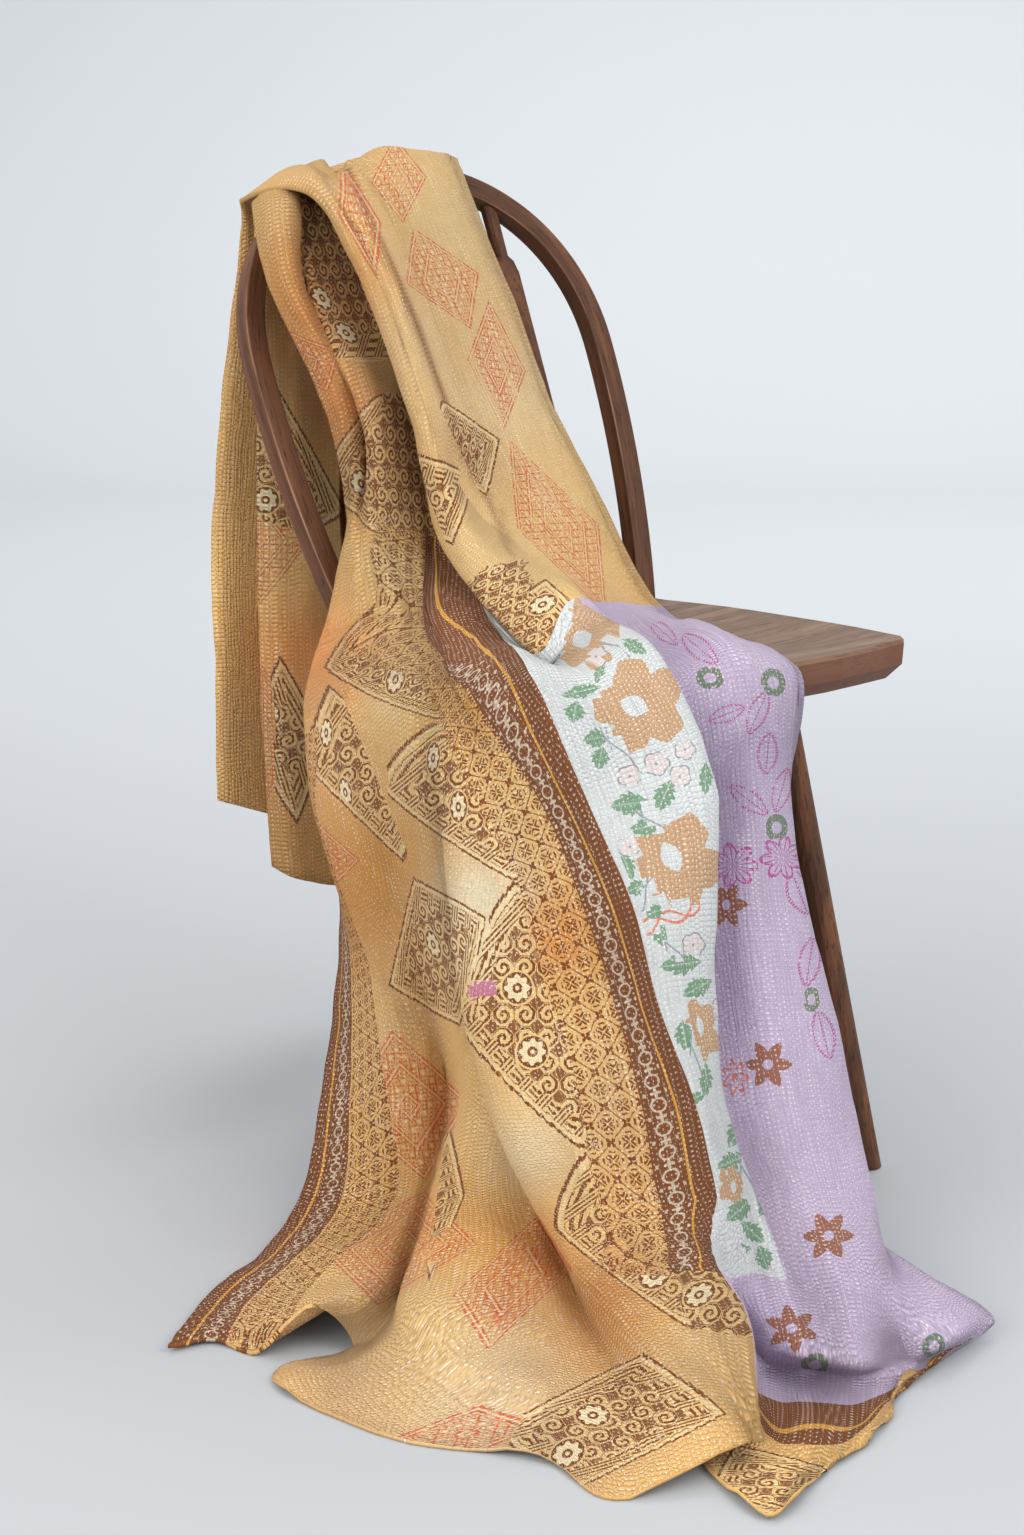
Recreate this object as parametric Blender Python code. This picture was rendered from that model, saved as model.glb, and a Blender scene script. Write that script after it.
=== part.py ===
"""Kantha quilt thrown over a bow-back chair: the quilt is one draped sheet, the chair is its bow, slats, seat and legs."""

from math import cos, pi, radians, sin

import bmesh
import bpy
from mathutils import Vector
from mathutils.bvhtree import BVHTree

# ---------------------------------------------------------------- driving sizes, metres
GAP = 0.0003
CENTRE_X = -0.1603
CENTRE_Y = -0.2045

SEAT_FRONT_TOP = 0.450
SEAT_REAR_DROP = 0.012
SEAT_THICK = 0.032
SEAT_DISH = 0.006
SEAT_CORNER_Y = -0.307
SEAT_UNDER_INSET = 0.014
# the seat's outline from the middle of the rear to the middle of the front, as (half width, y)
SEAT_OUTLINE = (
    (0.000, 0.059), (0.090, 0.057), (0.138, 0.049), (0.164, 0.035), (0.172, 0.001),
    (0.179, -0.034), (0.184, -0.069), (0.186, -0.104), (0.186, -0.138), (0.186, -0.173),
    (0.186, -0.208), (0.184, -0.243), (0.180, -0.277), (0.178, -0.297), (0.165, -0.311),
    (0.124, -0.321), (0.083, -0.329), (0.041, -0.333), (0.000, -0.335),
)

BOW_HALF_FOOT = 0.1595
BOW_HALF_WIDE = 0.189
BOW_WIDE_RISE = 0.241
BOW_RISE = 0.421
BOW_ROUNDNESS = 2.13
BOW_LEAN = radians(25.3)
BOW_WIDTH = 0.0190
BOW_DEPTH = 0.0190
BOW_SIDE_STEPS = 9
BOW_CROWN_STEPS = 12

SLAT_PLACES = (-0.098, -0.033, 0.033, 0.098)
SLAT_NECK = 0.0130
SLAT_BLADE_WIDE = 0.0310
SLAT_BLADE_THICK = 0.0080
SLAT_BLADE_TAPER = 0.0010
SLAT_TENON = 0.0006
SLAT_LOW_NECK = 0.030
SLAT_HIGH_NECK = 0.045
SLAT_SHOULDER = 0.014
SLAT_SIDES = 12

LEG_TOP_DIAMETER = 0.024
LEG_FOOT_DIAMETER = 0.025
LEG_SIDES = 16
LEGS = {
    # name: (top x, top y, foot x, foot y)
    "leg_front_left": (0.118, -0.208, 0.153, -0.297),
    "leg_front_right": (-0.118, -0.208, -0.153, -0.297),
    "leg_rear_left": (0.100, 0.000, 0.122, 0.052),
    "leg_rear_right": (-0.100, 0.000, -0.122, 0.052),
}

QUILT_THICK = 0.003
QUILT_COLUMN_STEPS = 2
QUILT_ROW_STEPS = 3
QUILT_CHAIR_CLEAR = 0.0060
QUILT_CLEARING_ROUNDS = 4
QUILT_TOUCH_RANGE = 0.025

# ---------------------------------------------------------------- how the drape is laid out
# The drape is set out as it is seen from one viewing point in front of the chair. A place is given by
# where it lies in that view (pixels of a 1024 x 1535 frame), and by how far it stands toward the viewer
# from the middle of the chair (hanging rows) or how high it is above the floor (floor rows), in centimetres.
VIEW_AZIMUTH = radians(-36.0)
VIEW_PITCH = radians(13.14)
VIEW_SCALE = 2984.7
VIEW_MIDDLE = (512.0, 767.5)
VIEW_POINT = Vector((-1.4787, -2.0366, 0.8957))

COLUMNS = (
    "free_edge", "border", "left_fold", "bulge", "left_valley",
    "second_fold", "second_face", "recess", "skirt_end", "front_edge",
    "front_face", "band_in", "band_out", "white_mid", "white_edge",
    "main_valley", "panel", "right_edge", "right_return", "far_edge",
)

HANGING_ROWS = {
    # each place is (across, down, toward)
    "back_hem": (
        (272, 866, -4.5), (282, 872, -3.5), (292, 877, -3), (302, 880, -3.5), (312, 882, -4.5),
        (322, 884, -5.5), (334, 885, -7), (344, 884, -9), (350, 880, -17), (362, 876, -11),
        (370, 870, -20), (388, 866, -13), (398, 850, -24), (228, 803, -9), (250, 808, -14),
        (312, 815, -24), (380, 815, -30), (434, 812, -31), (442, 810, -32), (448, 808, -33),
    ),
    "back_low": (
        (263, 708, -4.5), (272, 716, -3.5), (282, 722, -3), (294, 728, -3.5), (306, 732, -4.5),
        (318, 735, -5.5), (331, 737, -7), (342, 736, -9), (349, 733, -16), (362, 730, -11),
        (370, 726, -19), (388, 720, -13), (397, 714, -24), (226, 682, -9), (252, 690, -13.5),
        (312, 700, -23), (380, 698, -29), (434, 690, -30), (442, 687, -31), (448, 684, -32),
    ),
    "back_mid": (
        (258, 530, -4.5), (268, 536, -4), (278, 540, -4), (290, 543, -4.5), (302, 545, -5),
        (314, 547, -6), (326, 547, -7.5), (337, 546, -9), (345, 543, -14), (358, 541, -11.5),
        (367, 537, -17), (384, 534, -14), (393, 530, -22), (223, 520, -8.5), (250, 522, -13),
        (310, 530, -21), (380, 528, -27), (434, 514, -28), (443, 511, -29), (450, 508, -30),
    ),
    "back_high": (
        (257, 345, -5), (266, 346, -5.5), (276, 347, -6), (286, 348, -6.5), (296, 348, -7),
        (306, 348, -8), (316, 348, -9), (326, 347, -10), (335, 345, -12), (345, 343, -13),
        (355, 341, -15), (366, 339, -15.5), (373, 337, -19), (235, 342, -8), (260, 342, -12.5),
        (310, 342, -17.5), (375, 336, -23), (438, 316, -25.5), (446, 314, -26), (452, 312, -26.5),
    ),
    "behind_crest": (
        (256, 235, -7), (264, 222, -8), (272, 214, -9), (280, 208, -10), (288, 204, -11),
        (295, 201, -12), (302, 198, -12.8), (308, 196, -13.4), (314, 195, -14), (319, 194, -14.6),
        (324, 193, -15.1), (329, 192, -15.6), (326, 184, -17.5), (243, 226, -8.8), (288, 194, -15.5),
        (336, 186, -18.5), (392, 182, -20.5), (442, 183, -23), (448, 184, -23.5), (454, 186, -24),
    ),
    "crest": (
        (258, 216, -4.2), (265, 207, -4.8), (272, 201, -5.4), (279, 196, -6), (285, 192, -6.6),
        (291, 188, -7.4), (297, 185, -8), (303, 182, -8.6), (308, 180, -9), (312, 178, -9.4),
        (316, 176, -9.8), (320, 174, -10.2), (318, 166, -9.8), (246, 199, -3.8), (292, 167, -7),
        (336, 156, -11.5), (384, 147, -14.5), (442, 155, -19.2), (449, 157, -19.8), (456, 160, -20.4),
    ),
    "front_top": (
        (254, 207, -0.5), (266, 199, 1), (284, 195, 1.5), (297, 197, 0.5), (304, 202, -2),
        (311, 205, -3), (318, 205, -3.5), (325, 204, -4), (331, 203, -4.5), (337, 202, -5),
        (342, 200, -5.5), (346, 197, -5), (342, 193, -2), (312, 196, 3), (336, 184, 4),
        (358, 192, -5), (406, 180, -9.8), (452, 184, -13.6), (459, 186, -14.2), (466, 188, -14.8),
    ),
    "front_high": (
        (271, 290, 3), (281, 284, 5), (293, 283, 5.5), (302, 287, 4), (306, 291, 1),
        (312, 295, 2.5), (325, 299, 1.5), (337, 300, 0.5), (347, 300, -0.5), (356, 299, -1.5),
        (365, 297, -2.5), (373, 294, -2.5), (378, 291, 0), (367, 290, 4.5), (384, 276, 6),
        (399, 287, -2.5), (450, 285, -7.3), (496, 287, -11), (502, 289, -11.5), (509, 292, -12),
    ),
    "front_mid": (
        (328, 416, 5), (340, 408, 6), (352, 406, 5.5), (363, 409, 4), (369, 413, 2),
        (362, 417, 7.5), (370, 419, 8.5), (380, 420, 8), (389, 419, 6.5), (398, 418, 5),
        (406, 416, 3.5), (414, 414, 2.5), (420, 412, 4), (411, 417, 8.5), (428, 404, 10),
        (447, 405, 1), (493, 398, -4.2), (537, 396, -8), (543, 398, -8.5), (550, 400, -9),
    ),
    "gather": (
        (350, 548, 6.5), (349, 538, 8), (347, 530, 9), (352, 526, 10), (361, 527, 10),
        (370, 530, 11), (381, 533, 11), (392, 536, 10.5), (402, 539, 10), (410, 541, 9.5),
        (419, 544, 9), (432, 548, 7.5), (452, 548, 7.5), (444, 547, 12), (470, 530, 13.5),
        (482, 502, 3), (540, 504, -0.6), (590, 503, -4.8), (597, 504, -5.4), (604, 506, -6),
    ),
    "seat": (
        (338, 622, 9.5), (330, 622, 10), (325, 632, 12), (350, 614, 14), (368, 607, 15),
        (382, 604, 15), (396, 605, 16), (406, 607, 16), (412, 608, 17), (418, 608, 17),
        (424, 607, 18), (434, 610, 18), (482, 606, 17), (534, 650, 27), (562, 601, 23),
        (592, 598, 10), (622, 600, 4.5), (644, 603, 0.5), (651, 604, 0), (658, 605, -0.4),
    ),
    "under_roll": (
        (334, 655, 9.2), (323, 652, 9.8), (314, 664, 12.2), (340, 646, 15.8), (364, 638, 17.8),
        (382, 634, 18.8), (399, 634, 20.2), (411, 636, 20.6), (419, 637, 21.4), (427, 638, 21.8),
        (436, 640, 23), (448, 644, 23.6), (503, 640, 22.5), (549, 668, 28), (606, 622, 30.5),
        (632, 646, 20.5), (668, 626, 16.5), (700, 629, 12.5), (708, 632, 12), (715, 635, 11.6),
    ),
    "seat_edge": (
        (330, 706, 9), (315, 702, 10), (306, 718, 13), (332, 700, 18), (360, 690, 21),
        (384, 682, 24), (405, 680, 26), (420, 681, 27), (430, 683, 28), (440, 684, 29),
        (452, 686, 31), (466, 690, 33), (530, 674, 37), (590, 680, 40), (656, 656, 37),
        (674, 688, 34.5), (733, 662, 32.2), (786, 667, 30), (793, 670, 29.9), (800, 674, 29.8),
    ),
    "hang_high": (
        (336, 810, 9), (324, 808, 11), (317, 815, 16), (347, 812, 22), (382, 806, 25),
        (406, 800, 29), (422, 798, 32), (433, 800, 33), (440, 801, 34), (446, 801, 36),
        (492, 800, 39), (540, 800, 41), (582, 800, 42), (645, 792, 43), (711, 782, 41),
        (703, 800, 34), (752, 790, 34), (784, 785, 30.5), (788, 789, 28.5), (784, 794, 26.5),
    ),
    "hang_mid": (
        (342, 912, 11), (346, 915, 14), (351, 920, 18), (378, 922, 23), (409, 918, 25),
        (430, 910, 29), (444, 905, 32), (451, 905, 33), (455, 905, 34), (457, 905, 40),
        (525, 905, 43), (584, 905, 45), (628, 905, 46), (670, 900, 46), (713, 895, 43),
        (705, 905, 37), (758, 900, 37), (802, 895, 33), (796, 902, 28), (780, 908, 25),
    ),
    "hang_low": (
        (335, 1010, 14), (356, 1018, 18), (388, 1010, 23), (412, 1018, 24), (437, 1018, 24),
        (455, 1012, 30), (467, 1008, 32), (475, 1008, 32), (478, 1010, 33), (465, 1012, 43),
        (545, 1010, 46), (617, 1010, 47), (655, 1005, 48), (685, 1000, 48), (713, 1000, 45),
        (709, 1010, 40), (772, 1005, 41), (828, 1005, 37), (820, 1012, 30), (805, 1018, 27),
    ),
    "skirt_high": (
        (319, 1108, 20), (350, 1112, 23), (388, 1110, 26), (424, 1105, 26), (452, 1098, 24),
        (466, 1095, 33), (487, 1098, 36), (505, 1100, 35), (510, 1102, 35), (488, 1100, 46),
        (572, 1105, 49), (643, 1110, 50), (692, 1105, 51), (709, 1100, 50), (722, 1098, 48),
        (731, 1108, 45), (790, 1105, 45), (850, 1105, 40), (842, 1112, 32), (828, 1116, 28),
    ),
    "skirt_low": (
        (302, 1195, 27), (338, 1200, 29), (377, 1200, 31), (412, 1195, 31), (434, 1190, 30),
        (441, 1188, 38), (482, 1195, 42), (528, 1200, 42), (545, 1203, 41), (530, 1192, 49),
        (600, 1195, 52), (662, 1205, 53), (712, 1198, 53), (736, 1195, 51), (750, 1190, 50),
        (764, 1190, 48), (816, 1200, 49), (871, 1200, 43), (864, 1205, 35), (850, 1205, 30),
    ),
}

FLOOR_ROWS = {
    # each place is (across, down, height above the floor)
    "floor_bend": (
        (260, 1255, 0.8), (298, 1264, 1.5), (344, 1264, 3.0), (385, 1262, 3.5), (412, 1262, 2.5),
        (419, 1262, 5.0), (478, 1268, 6.5), (545, 1290, 5.0), (580, 1298, 4.0), (580, 1264, 7.5),
        (652, 1266, 8.5), (714, 1270, 9.0), (726, 1278, 6.5), (755, 1275, 6.0), (780, 1280, 6.0),
        (806, 1290, 5.5), (845, 1285, 6.5), (880, 1288, 5.5), (898, 1282, 4.6), (893, 1254, 3.6),
    ),
    "roll_front": (
        (232, 1277, 0.6), (266, 1292, 1.0), (318, 1294, 2.5), (364, 1286, 4.2), (400, 1296, 2.2),
        (404, 1304, 4.6), (462, 1324, 5.5), (560, 1350, 3.6), (612, 1360, 3.0), (628, 1322, 6.0),
        (690, 1318, 7.0), (742, 1314, 7.6), (742, 1322, 3.4), (775, 1346, 3.4), (801, 1352, 3.6),
        (829, 1357, 3.4), (862, 1360, 3.4), (889, 1352, 1.6), (936, 1338, 2.8), (978, 1306, 2.2),
    ),
    "roll_under": (
        (209, 1296, 0.5), (244, 1310, 0.8), (300, 1314, 2.0), (348, 1299, 4.2), (386, 1322, 1.8),
        (392, 1344, 2.6), (444, 1362, 3.6), (560, 1392, 2.6), (628, 1404, 2.4), (668, 1366, 5.0),
        (716, 1364, 6.0), (753, 1366, 6.2), (750, 1372, 2.0), (776, 1372, 0.7), (802, 1376, 0.7),
        (830, 1379, 0.7), (862, 1380, 0.7), (900, 1372, 0.7), (946, 1352, 0.8), (990, 1326, 0.8),
    ),
    "band_line": (
        (188, 1320, 0.5), (226, 1326, 0.6), (279, 1334, 1.2), (331, 1303, 4.2), (372, 1340, 1.0),
        (342, 1368, 1.2), (418, 1398, 1.6), (552, 1430, 1.4), (628, 1452, 1.4), (712, 1412, 3.8),
        (740, 1408, 4.4), (760, 1408, 4.6), (756, 1412, 1.0), (774, 1442, 0.5), (803, 1446, 0.5),
        (834, 1446, 0.5), (858, 1438, 0.5), (888, 1404, 0.5), (912, 1380, 0.5), (950, 1352, 0.5),
    ),
    "front_hem": (
        (168, 1350, 0.3), (214, 1341, 0.3), (257, 1353, 0.3), (313, 1306, 4.2), (352, 1350, 0.3),
        (272, 1378, 0.3), (392, 1437, 0.3), (540, 1457, 0.3), (614, 1497, 0.3), (746, 1442, 2.4),
        (756, 1442, 2.6), (764, 1441, 2.4), (742, 1436, 0.5), (700, 1456, 0.3), (766, 1517, 0.3),
        (806, 1488, 0.3), (842, 1456, 0.3), (876, 1430, 0.3), (892, 1402, 0.3), (914, 1368, 0.3),
    ),
}


# ---------------------------------------------------------------- shared shapes
def seat_top(y):
    """Height of the seat's upper face at its rim: it falls toward the rear."""
    return SEAT_FRONT_TOP - SEAT_REAR_DROP * (1.0 - min(1.0, max(0.0, y / SEAT_CORNER_Y)))


def spline(a, b, c, d, t):
    """A smooth curve from b to c that leaves along a to c and arrives along b to d."""
    return 0.5 * ((2 * b) + (c - a) * t + (2 * a - 5 * b + 4 * c - d) * t * t + (3 * b - a - 3 * c + d) * t ** 3)


def smooth_line(points, steps):
    """The points with steps - 1 new ones on a smooth curve between each pair."""
    ends = [2 * points[0] - points[1], *points, 2 * points[-1] - points[-2]]
    line = []
    for index in range(1, len(ends) - 2):
        line += [spline(*ends[index - 1:index + 3], step / steps) for step in range(steps)]
    return line + [points[-1].copy()]


def view_ray(across, down):
    """The way the viewer looks to see (across, down), for one unit along the line of sight."""
    right = Vector((cos(VIEW_AZIMUTH), sin(VIEW_AZIMUTH), 0.0))
    back = Vector((sin(VIEW_AZIMUTH) * cos(VIEW_PITCH), -cos(VIEW_AZIMUTH) * cos(VIEW_PITCH), sin(VIEW_PITCH)))
    up = back.cross(right)
    ray = right * ((across - VIEW_MIDDLE[0]) / VIEW_SCALE)
    return ray + up * ((VIEW_MIDDLE[1] - down) / VIEW_SCALE) - back


def hanging_place(across, down, toward):
    """The place seen at (across, down) that stands toward centimetres nearer than the chair's middle."""
    level = Vector((sin(VIEW_AZIMUTH), -cos(VIEW_AZIMUTH), 0.0))
    ray = view_ray(across, down)
    return VIEW_POINT + ray * ((toward / 100.0 - VIEW_POINT.dot(level)) / ray.dot(level))


def floor_place(across, down, height):
    """The place seen at (across, down) that is height centimetres above the floor."""
    ray = view_ray(across, down)
    return VIEW_POINT + ray * ((height / 100.0 - VIEW_POINT.z) / ray.z)


# ---------------------------------------------------------------- scene helpers
def material(name, colour, roughness):
    """A plain surface of one colour."""
    made = bpy.data.materials.new(name)
    made.use_nodes = True
    surface = made.node_tree.nodes["Principled BSDF"]
    surface.inputs["Base Color"].default_value = (*colour, 1.0)
    surface.inputs["Roughness"].default_value = roughness
    return made


def loft(name, rings, finish, collection):
    """One closed body through rings of points, with a flat face at each end."""
    shape = bmesh.new()
    rows = [[shape.verts.new(point) for point in ring] for ring in rings]
    count = len(rows[0])
    for low, high in zip(rows, rows[1:]):
        for index in range(count):
            following = (index + 1) % count
            shape.faces.new((low[index], low[following], high[following], high[index]))
    shape.faces.new(list(reversed(rows[0])))
    shape.faces.new(rows[-1])
    bmesh.ops.triangulate(shape, faces=shape.faces[:])
    bmesh.ops.recalc_face_normals(shape, faces=shape.faces[:])
    return finish_object(name, shape, finish, collection)


def finish_object(name, shape, finish, collection):
    """Turns a bmesh into a named object, set so that the whole part stands centred on its frame."""
    mesh = bpy.data.meshes.new(name)
    shape.to_mesh(mesh)
    shape.free()
    mesh.materials.append(finish)
    mesh.shade_smooth()
    mesh.set_sharp_from_angle(angle=radians(35.0))
    made = bpy.data.objects.new(name, mesh)
    made.location = (-CENTRE_X, -CENTRE_Y, 0.0)
    collection.objects.link(made)
    return made


# ---------------------------------------------------------------- chair
def bow_outline():
    """The bow's outer line from foot to crown, as (half width, rise along the bow), and the way out of it."""
    line = []
    for step in range(BOW_SIDE_STEPS):
        rise = BOW_WIDE_RISE * step / BOW_SIDE_STEPS
        swell = 1.0 - (1.0 - rise / BOW_WIDE_RISE) ** 2
        line.append(Vector((BOW_HALF_FOOT + (BOW_HALF_WIDE - BOW_HALF_FOOT) * swell, rise)))
    for step in range(BOW_CROWN_STEPS + 1):
        turn = (pi / 2) * step / BOW_CROWN_STEPS
        power = 2.0 / BOW_ROUNDNESS
        across = BOW_HALF_WIDE * max(cos(turn), 0.0) ** power
        rise = BOW_WIDE_RISE + (BOW_RISE - BOW_WIDE_RISE) * sin(turn) ** power
        line.append(Vector((across, rise)))
    whole = line + [Vector((-point.x, point.y)) for point in reversed(line[:-1])]
    outward = []
    for index in range(len(whole)):
        along = whole[min(index + 1, len(whole) - 1)] - whole[max(index - 1, 0)]
        along.normalize()
        outward.append(Vector((along.y, -along.x)))
    return whole, outward


def on_bow(across, rise, depth):
    """A place in the leaning plane of the back: across, up along it, and depth behind its front face."""
    return Vector((
        across,
        rise * sin(BOW_LEAN) + depth * cos(BOW_LEAN),
        seat_top(0.0) + rise * cos(BOW_LEAN) - depth * sin(BOW_LEAN),
    ))


def set_on_seat(point):
    """The point moved along the leaning back until it stands just clear of the seat."""
    along = Vector((0.0, sin(BOW_LEAN), cos(BOW_LEAN)))
    return point + along * ((seat_top(point.y) + GAP - point.z) / along.z)


def inner_rise(across):
    """How high the bow's inner line is above the seat, at a distance across the back."""
    line, outward = bow_outline()
    inner = [point - way * BOW_WIDTH for point, way in zip(line, outward)]
    for first, second in zip(inner, inner[1:]):
        if second.y > BOW_RISE * 0.5 and min(first.x, second.x) <= across <= max(first.x, second.x):
            share = (across - first.x) / (second.x - first.x)
            return first.y + (second.y - first.y) * share
    return inner[len(inner) // 2].y


def build_bow(finish, collection):
    line, outward = bow_outline()
    rings = []
    for point, way in zip(line, outward):
        inside = point - way * BOW_WIDTH
        rings.append([
            on_bow(point.x, point.y, 0.0), on_bow(inside.x, inside.y, 0.0),
            on_bow(inside.x, inside.y, BOW_DEPTH), on_bow(point.x, point.y, BOW_DEPTH),
        ])
    rings[0] = [set_on_seat(point) for point in rings[0]]
    rings[-1] = [set_on_seat(point) for point in rings[-1]]
    return loft("bow", rings, finish, collection)


def build_slat(name, across, finish, collection):
    """A slat with a round neck at each end and a flat blade between."""
    top = inner_rise(across)
    shoulder = top - SLAT_HIGH_NECK
    neck, blade, thin = SLAT_NECK / 2, SLAT_BLADE_WIDE / 2, SLAT_BLADE_THICK / 2
    sections = (
        # rise, half width, half thickness
        (0.0, neck, neck),
        (SLAT_LOW_NECK, neck, neck),
        (SLAT_LOW_NECK + SLAT_SHOULDER, blade - 2 * SLAT_BLADE_TAPER, thin),
        (shoulder * 0.6, blade - SLAT_BLADE_TAPER, thin),
        (shoulder - SLAT_SHOULDER, blade, thin),
        (shoulder - SLAT_SHOULDER / 3, blade - 3 * SLAT_BLADE_TAPER, thin + SLAT_BLADE_TAPER),
        (shoulder, neck, neck),
        (top, neck + SLAT_TENON, neck),
    )
    rings = []
    for rise, half_wide, half_thick in sections:
        ring = []
        for side in range(SLAT_SIDES):
            turn = 2 * pi * side / SLAT_SIDES
            place = across + half_wide * cos(turn)
            height = inner_rise(place) - GAP if rise == top else rise
            ring.append(on_bow(place, height, BOW_DEPTH / 2 + half_thick * sin(turn)))
        rings.append(ring)
    rings[0] = [set_on_seat(point) for point in rings[0]]
    return loft(name, rings, finish, collection)


def seat_outline(shrink):
    """The seat's whole outline, drawn in toward its middle by shrink."""
    whole = list(SEAT_OUTLINE) + [(-x, y) for x, y in reversed(SEAT_OUTLINE[1:-1])]
    middle = Vector((0.0, (SEAT_OUTLINE[0][1] + SEAT_OUTLINE[-1][1]) / 2))
    drawn = []
    for corner in whole:
        reach = Vector(corner) - middle
        drawn.append(reach.normalized() * (reach.length - shrink) + middle)
    return drawn


def build_seat(finish, collection):
    """A solid plank, dished where one sits, with its underside cut away at the rim."""
    layers = (
        # drawn in, height against the rim
        (0.120, -SEAT_DISH), (0.070, -SEAT_DISH * 0.8), (0.025, -SEAT_DISH * 0.25), (0.003, 0.0),
        (0.0, -0.003), (0.001, -SEAT_THICK * 0.62), (SEAT_UNDER_INSET, -SEAT_THICK),
    )
    rings = []
    for drawn_in, height in layers:
        rings.append([Vector((p.x, p.y, seat_top(p.y) + height)) for p in seat_outline(drawn_in)])
    return loft("seat", rings, finish, collection)


def build_leg(name, place, finish, collection):
    """A round leg that splays outward, level at the foot and cut to the seat's underside."""
    top = Vector((place[0], place[1], seat_top(place[1]) - SEAT_THICK - GAP))
    foot = Vector((place[2], place[3], 0.0))
    along = (top - foot).normalized()
    side = along.cross(Vector((0.0, 1.0, 0.0))).normalized()
    other = side.cross(along)
    rings = []
    for share in (0.0, 0.5, 1.0):
        diameter = LEG_FOOT_DIAMETER + (LEG_TOP_DIAMETER - LEG_FOOT_DIAMETER) * share
        ring = []
        for step in range(LEG_SIDES):
            turn = 2 * pi * step / LEG_SIDES
            point = foot + (top - foot) * share + (side * cos(turn) + other * sin(turn)) * (diameter / 2)
            if share == 0.0:
                point -= along * (point.z / along.z)
            elif share == 1.0:
                under = seat_top(point.y) - SEAT_THICK - GAP
                point += along * ((under - point.z) / along.z)
            ring.append(point)
        rings.append(ring)
    return loft(name, rings, finish, collection)


# ---------------------------------------------------------------- quilt
def quilt_grid():
    """Rows of points over the whole drape, smooth along and across it."""
    coarse = [[hanging_place(*place) for place in row] for row in HANGING_ROWS.values()]
    coarse += [[floor_place(*place) for place in row] for row in FLOOR_ROWS.values()]
    across = [smooth_line(row, QUILT_COLUMN_STEPS) for row in coarse]
    columns = [smooth_line(list(column), QUILT_ROW_STEPS) for column in zip(*across)]
    return [list(row) for row in zip(*columns)]


def way_out(place, surfaces):
    """The move that takes a place out of the chair, or away from it, to the quilt's least distance."""
    move = Vector()
    for surface in surfaces:
        nearest, outward, _, distance = surface.find_nearest(place + move, QUILT_TOUCH_RANGE)
        if nearest is None:
            continue
        away = place + move - nearest
        if away.dot(outward) < 0.0:
            move += nearest + outward * QUILT_CHAIR_CLEAR - place - move
        elif distance < QUILT_CHAIR_CLEAR:
            move += away.normalized() * (QUILT_CHAIR_CLEAR - distance)
    return move


def clear_of_chair(grid, chair):
    """Moves points of the drape until they, and the places midway between them, are clear of the chair."""
    surfaces = []
    for piece in chair:
        corners = [vertex.co for vertex in piece.data.vertices]
        surfaces.append(BVHTree.FromPolygons(corners, [face.vertices[:] for face in piece.data.polygons]))
    last_row, last_column = len(grid) - 1, len(grid[0]) - 1
    for _ in range(QUILT_CLEARING_ROUNDS):
        for i, row in enumerate(grid):
            for j, point in enumerate(row):
                point += way_out(point, surfaces)
                near = [grid[min(i + 1, last_row)][j], row[min(j + 1, last_column)]]
                near.append(grid[min(i + 1, last_row)][min(j + 1, last_column)])
                for other in near:
                    move = way_out((point + other) / 2, surfaces)
                    point += move
                    if other is not point:
                        other += move
                point.z = max(point.z, QUILT_THICK / 2)


def build_quilt(chair, finish, collection):
    """The draped sheet over the chair, one closed body of the quilt's thickness."""
    grid = quilt_grid()
    clear_of_chair(grid, chair)
    rows, columns = len(grid), len(grid[0])
    shape = bmesh.new()
    layers = []
    for side in (1.0, -1.0):
        layer = []
        for i in range(rows):
            line = []
            for j in range(columns):
                along = grid[min(i + 1, rows - 1)][j] - grid[max(i - 1, 0)][j]
                over = grid[i][min(j + 1, columns - 1)] - grid[i][max(j - 1, 0)]
                normal = over.cross(along)
                normal.normalize()
                line.append(shape.verts.new(grid[i][j] + normal * (side * QUILT_THICK / 2)))
            layer.append(line)
        layers.append(layer)
    face, back = layers
    for i in range(rows - 1):
        for j in range(columns - 1):
            shape.faces.new((face[i][j], face[i][j + 1], face[i + 1][j + 1], face[i + 1][j]))
            shape.faces.new((back[i][j], back[i + 1][j], back[i + 1][j + 1], back[i][j + 1]))
    rim = [(0, j) for j in range(columns)] + [(i, columns - 1) for i in range(1, rows)]
    rim += [(rows - 1, j) for j in range(columns - 2, -1, -1)] + [(i, 0) for i in range(rows - 2, 0, -1)]
    for (i, j), (k, m) in zip(rim, rim[1:] + rim[:1]):
        shape.faces.new((face[i][j], back[i][j], back[k][m], face[k][m]))
    for vertex in shape.verts:
        vertex.co.z = max(vertex.co.z, 0.0)
    bmesh.ops.triangulate(shape, faces=shape.faces[:])
    bmesh.ops.recalc_face_normals(shape, faces=shape.faces[:])
    return finish_object("quilt", shape, finish, collection)


def main():
    for old in list(bpy.data.objects):
        bpy.data.objects.remove(old, do_unlink=True)
    collection = bpy.data.collections.new("kantha_quilt_over_a_chair")
    bpy.context.scene.collection.children.link(collection)
    oak = material("dark_stained_wood", (0.085, 0.040, 0.026), 0.5)
    elm = material("worn_seat_wood", (0.20, 0.135, 0.095), 0.6)
    cotton = material("ochre_cotton", (0.64, 0.38, 0.13), 0.9)
    chair = [build_bow(oak, collection), build_seat(elm, collection)]
    for number, across in enumerate(SLAT_PLACES, 1):
        chair.append(build_slat(f"slat_{number}", across, oak, collection))
    for name, place in LEGS.items():
        chair.append(build_leg(name, place, oak, collection))
    build_quilt(chair, cotton, collection)


main()
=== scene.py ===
"""Looks of the kantha quilt thrown over a bow-back chair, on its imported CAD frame."""

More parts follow.
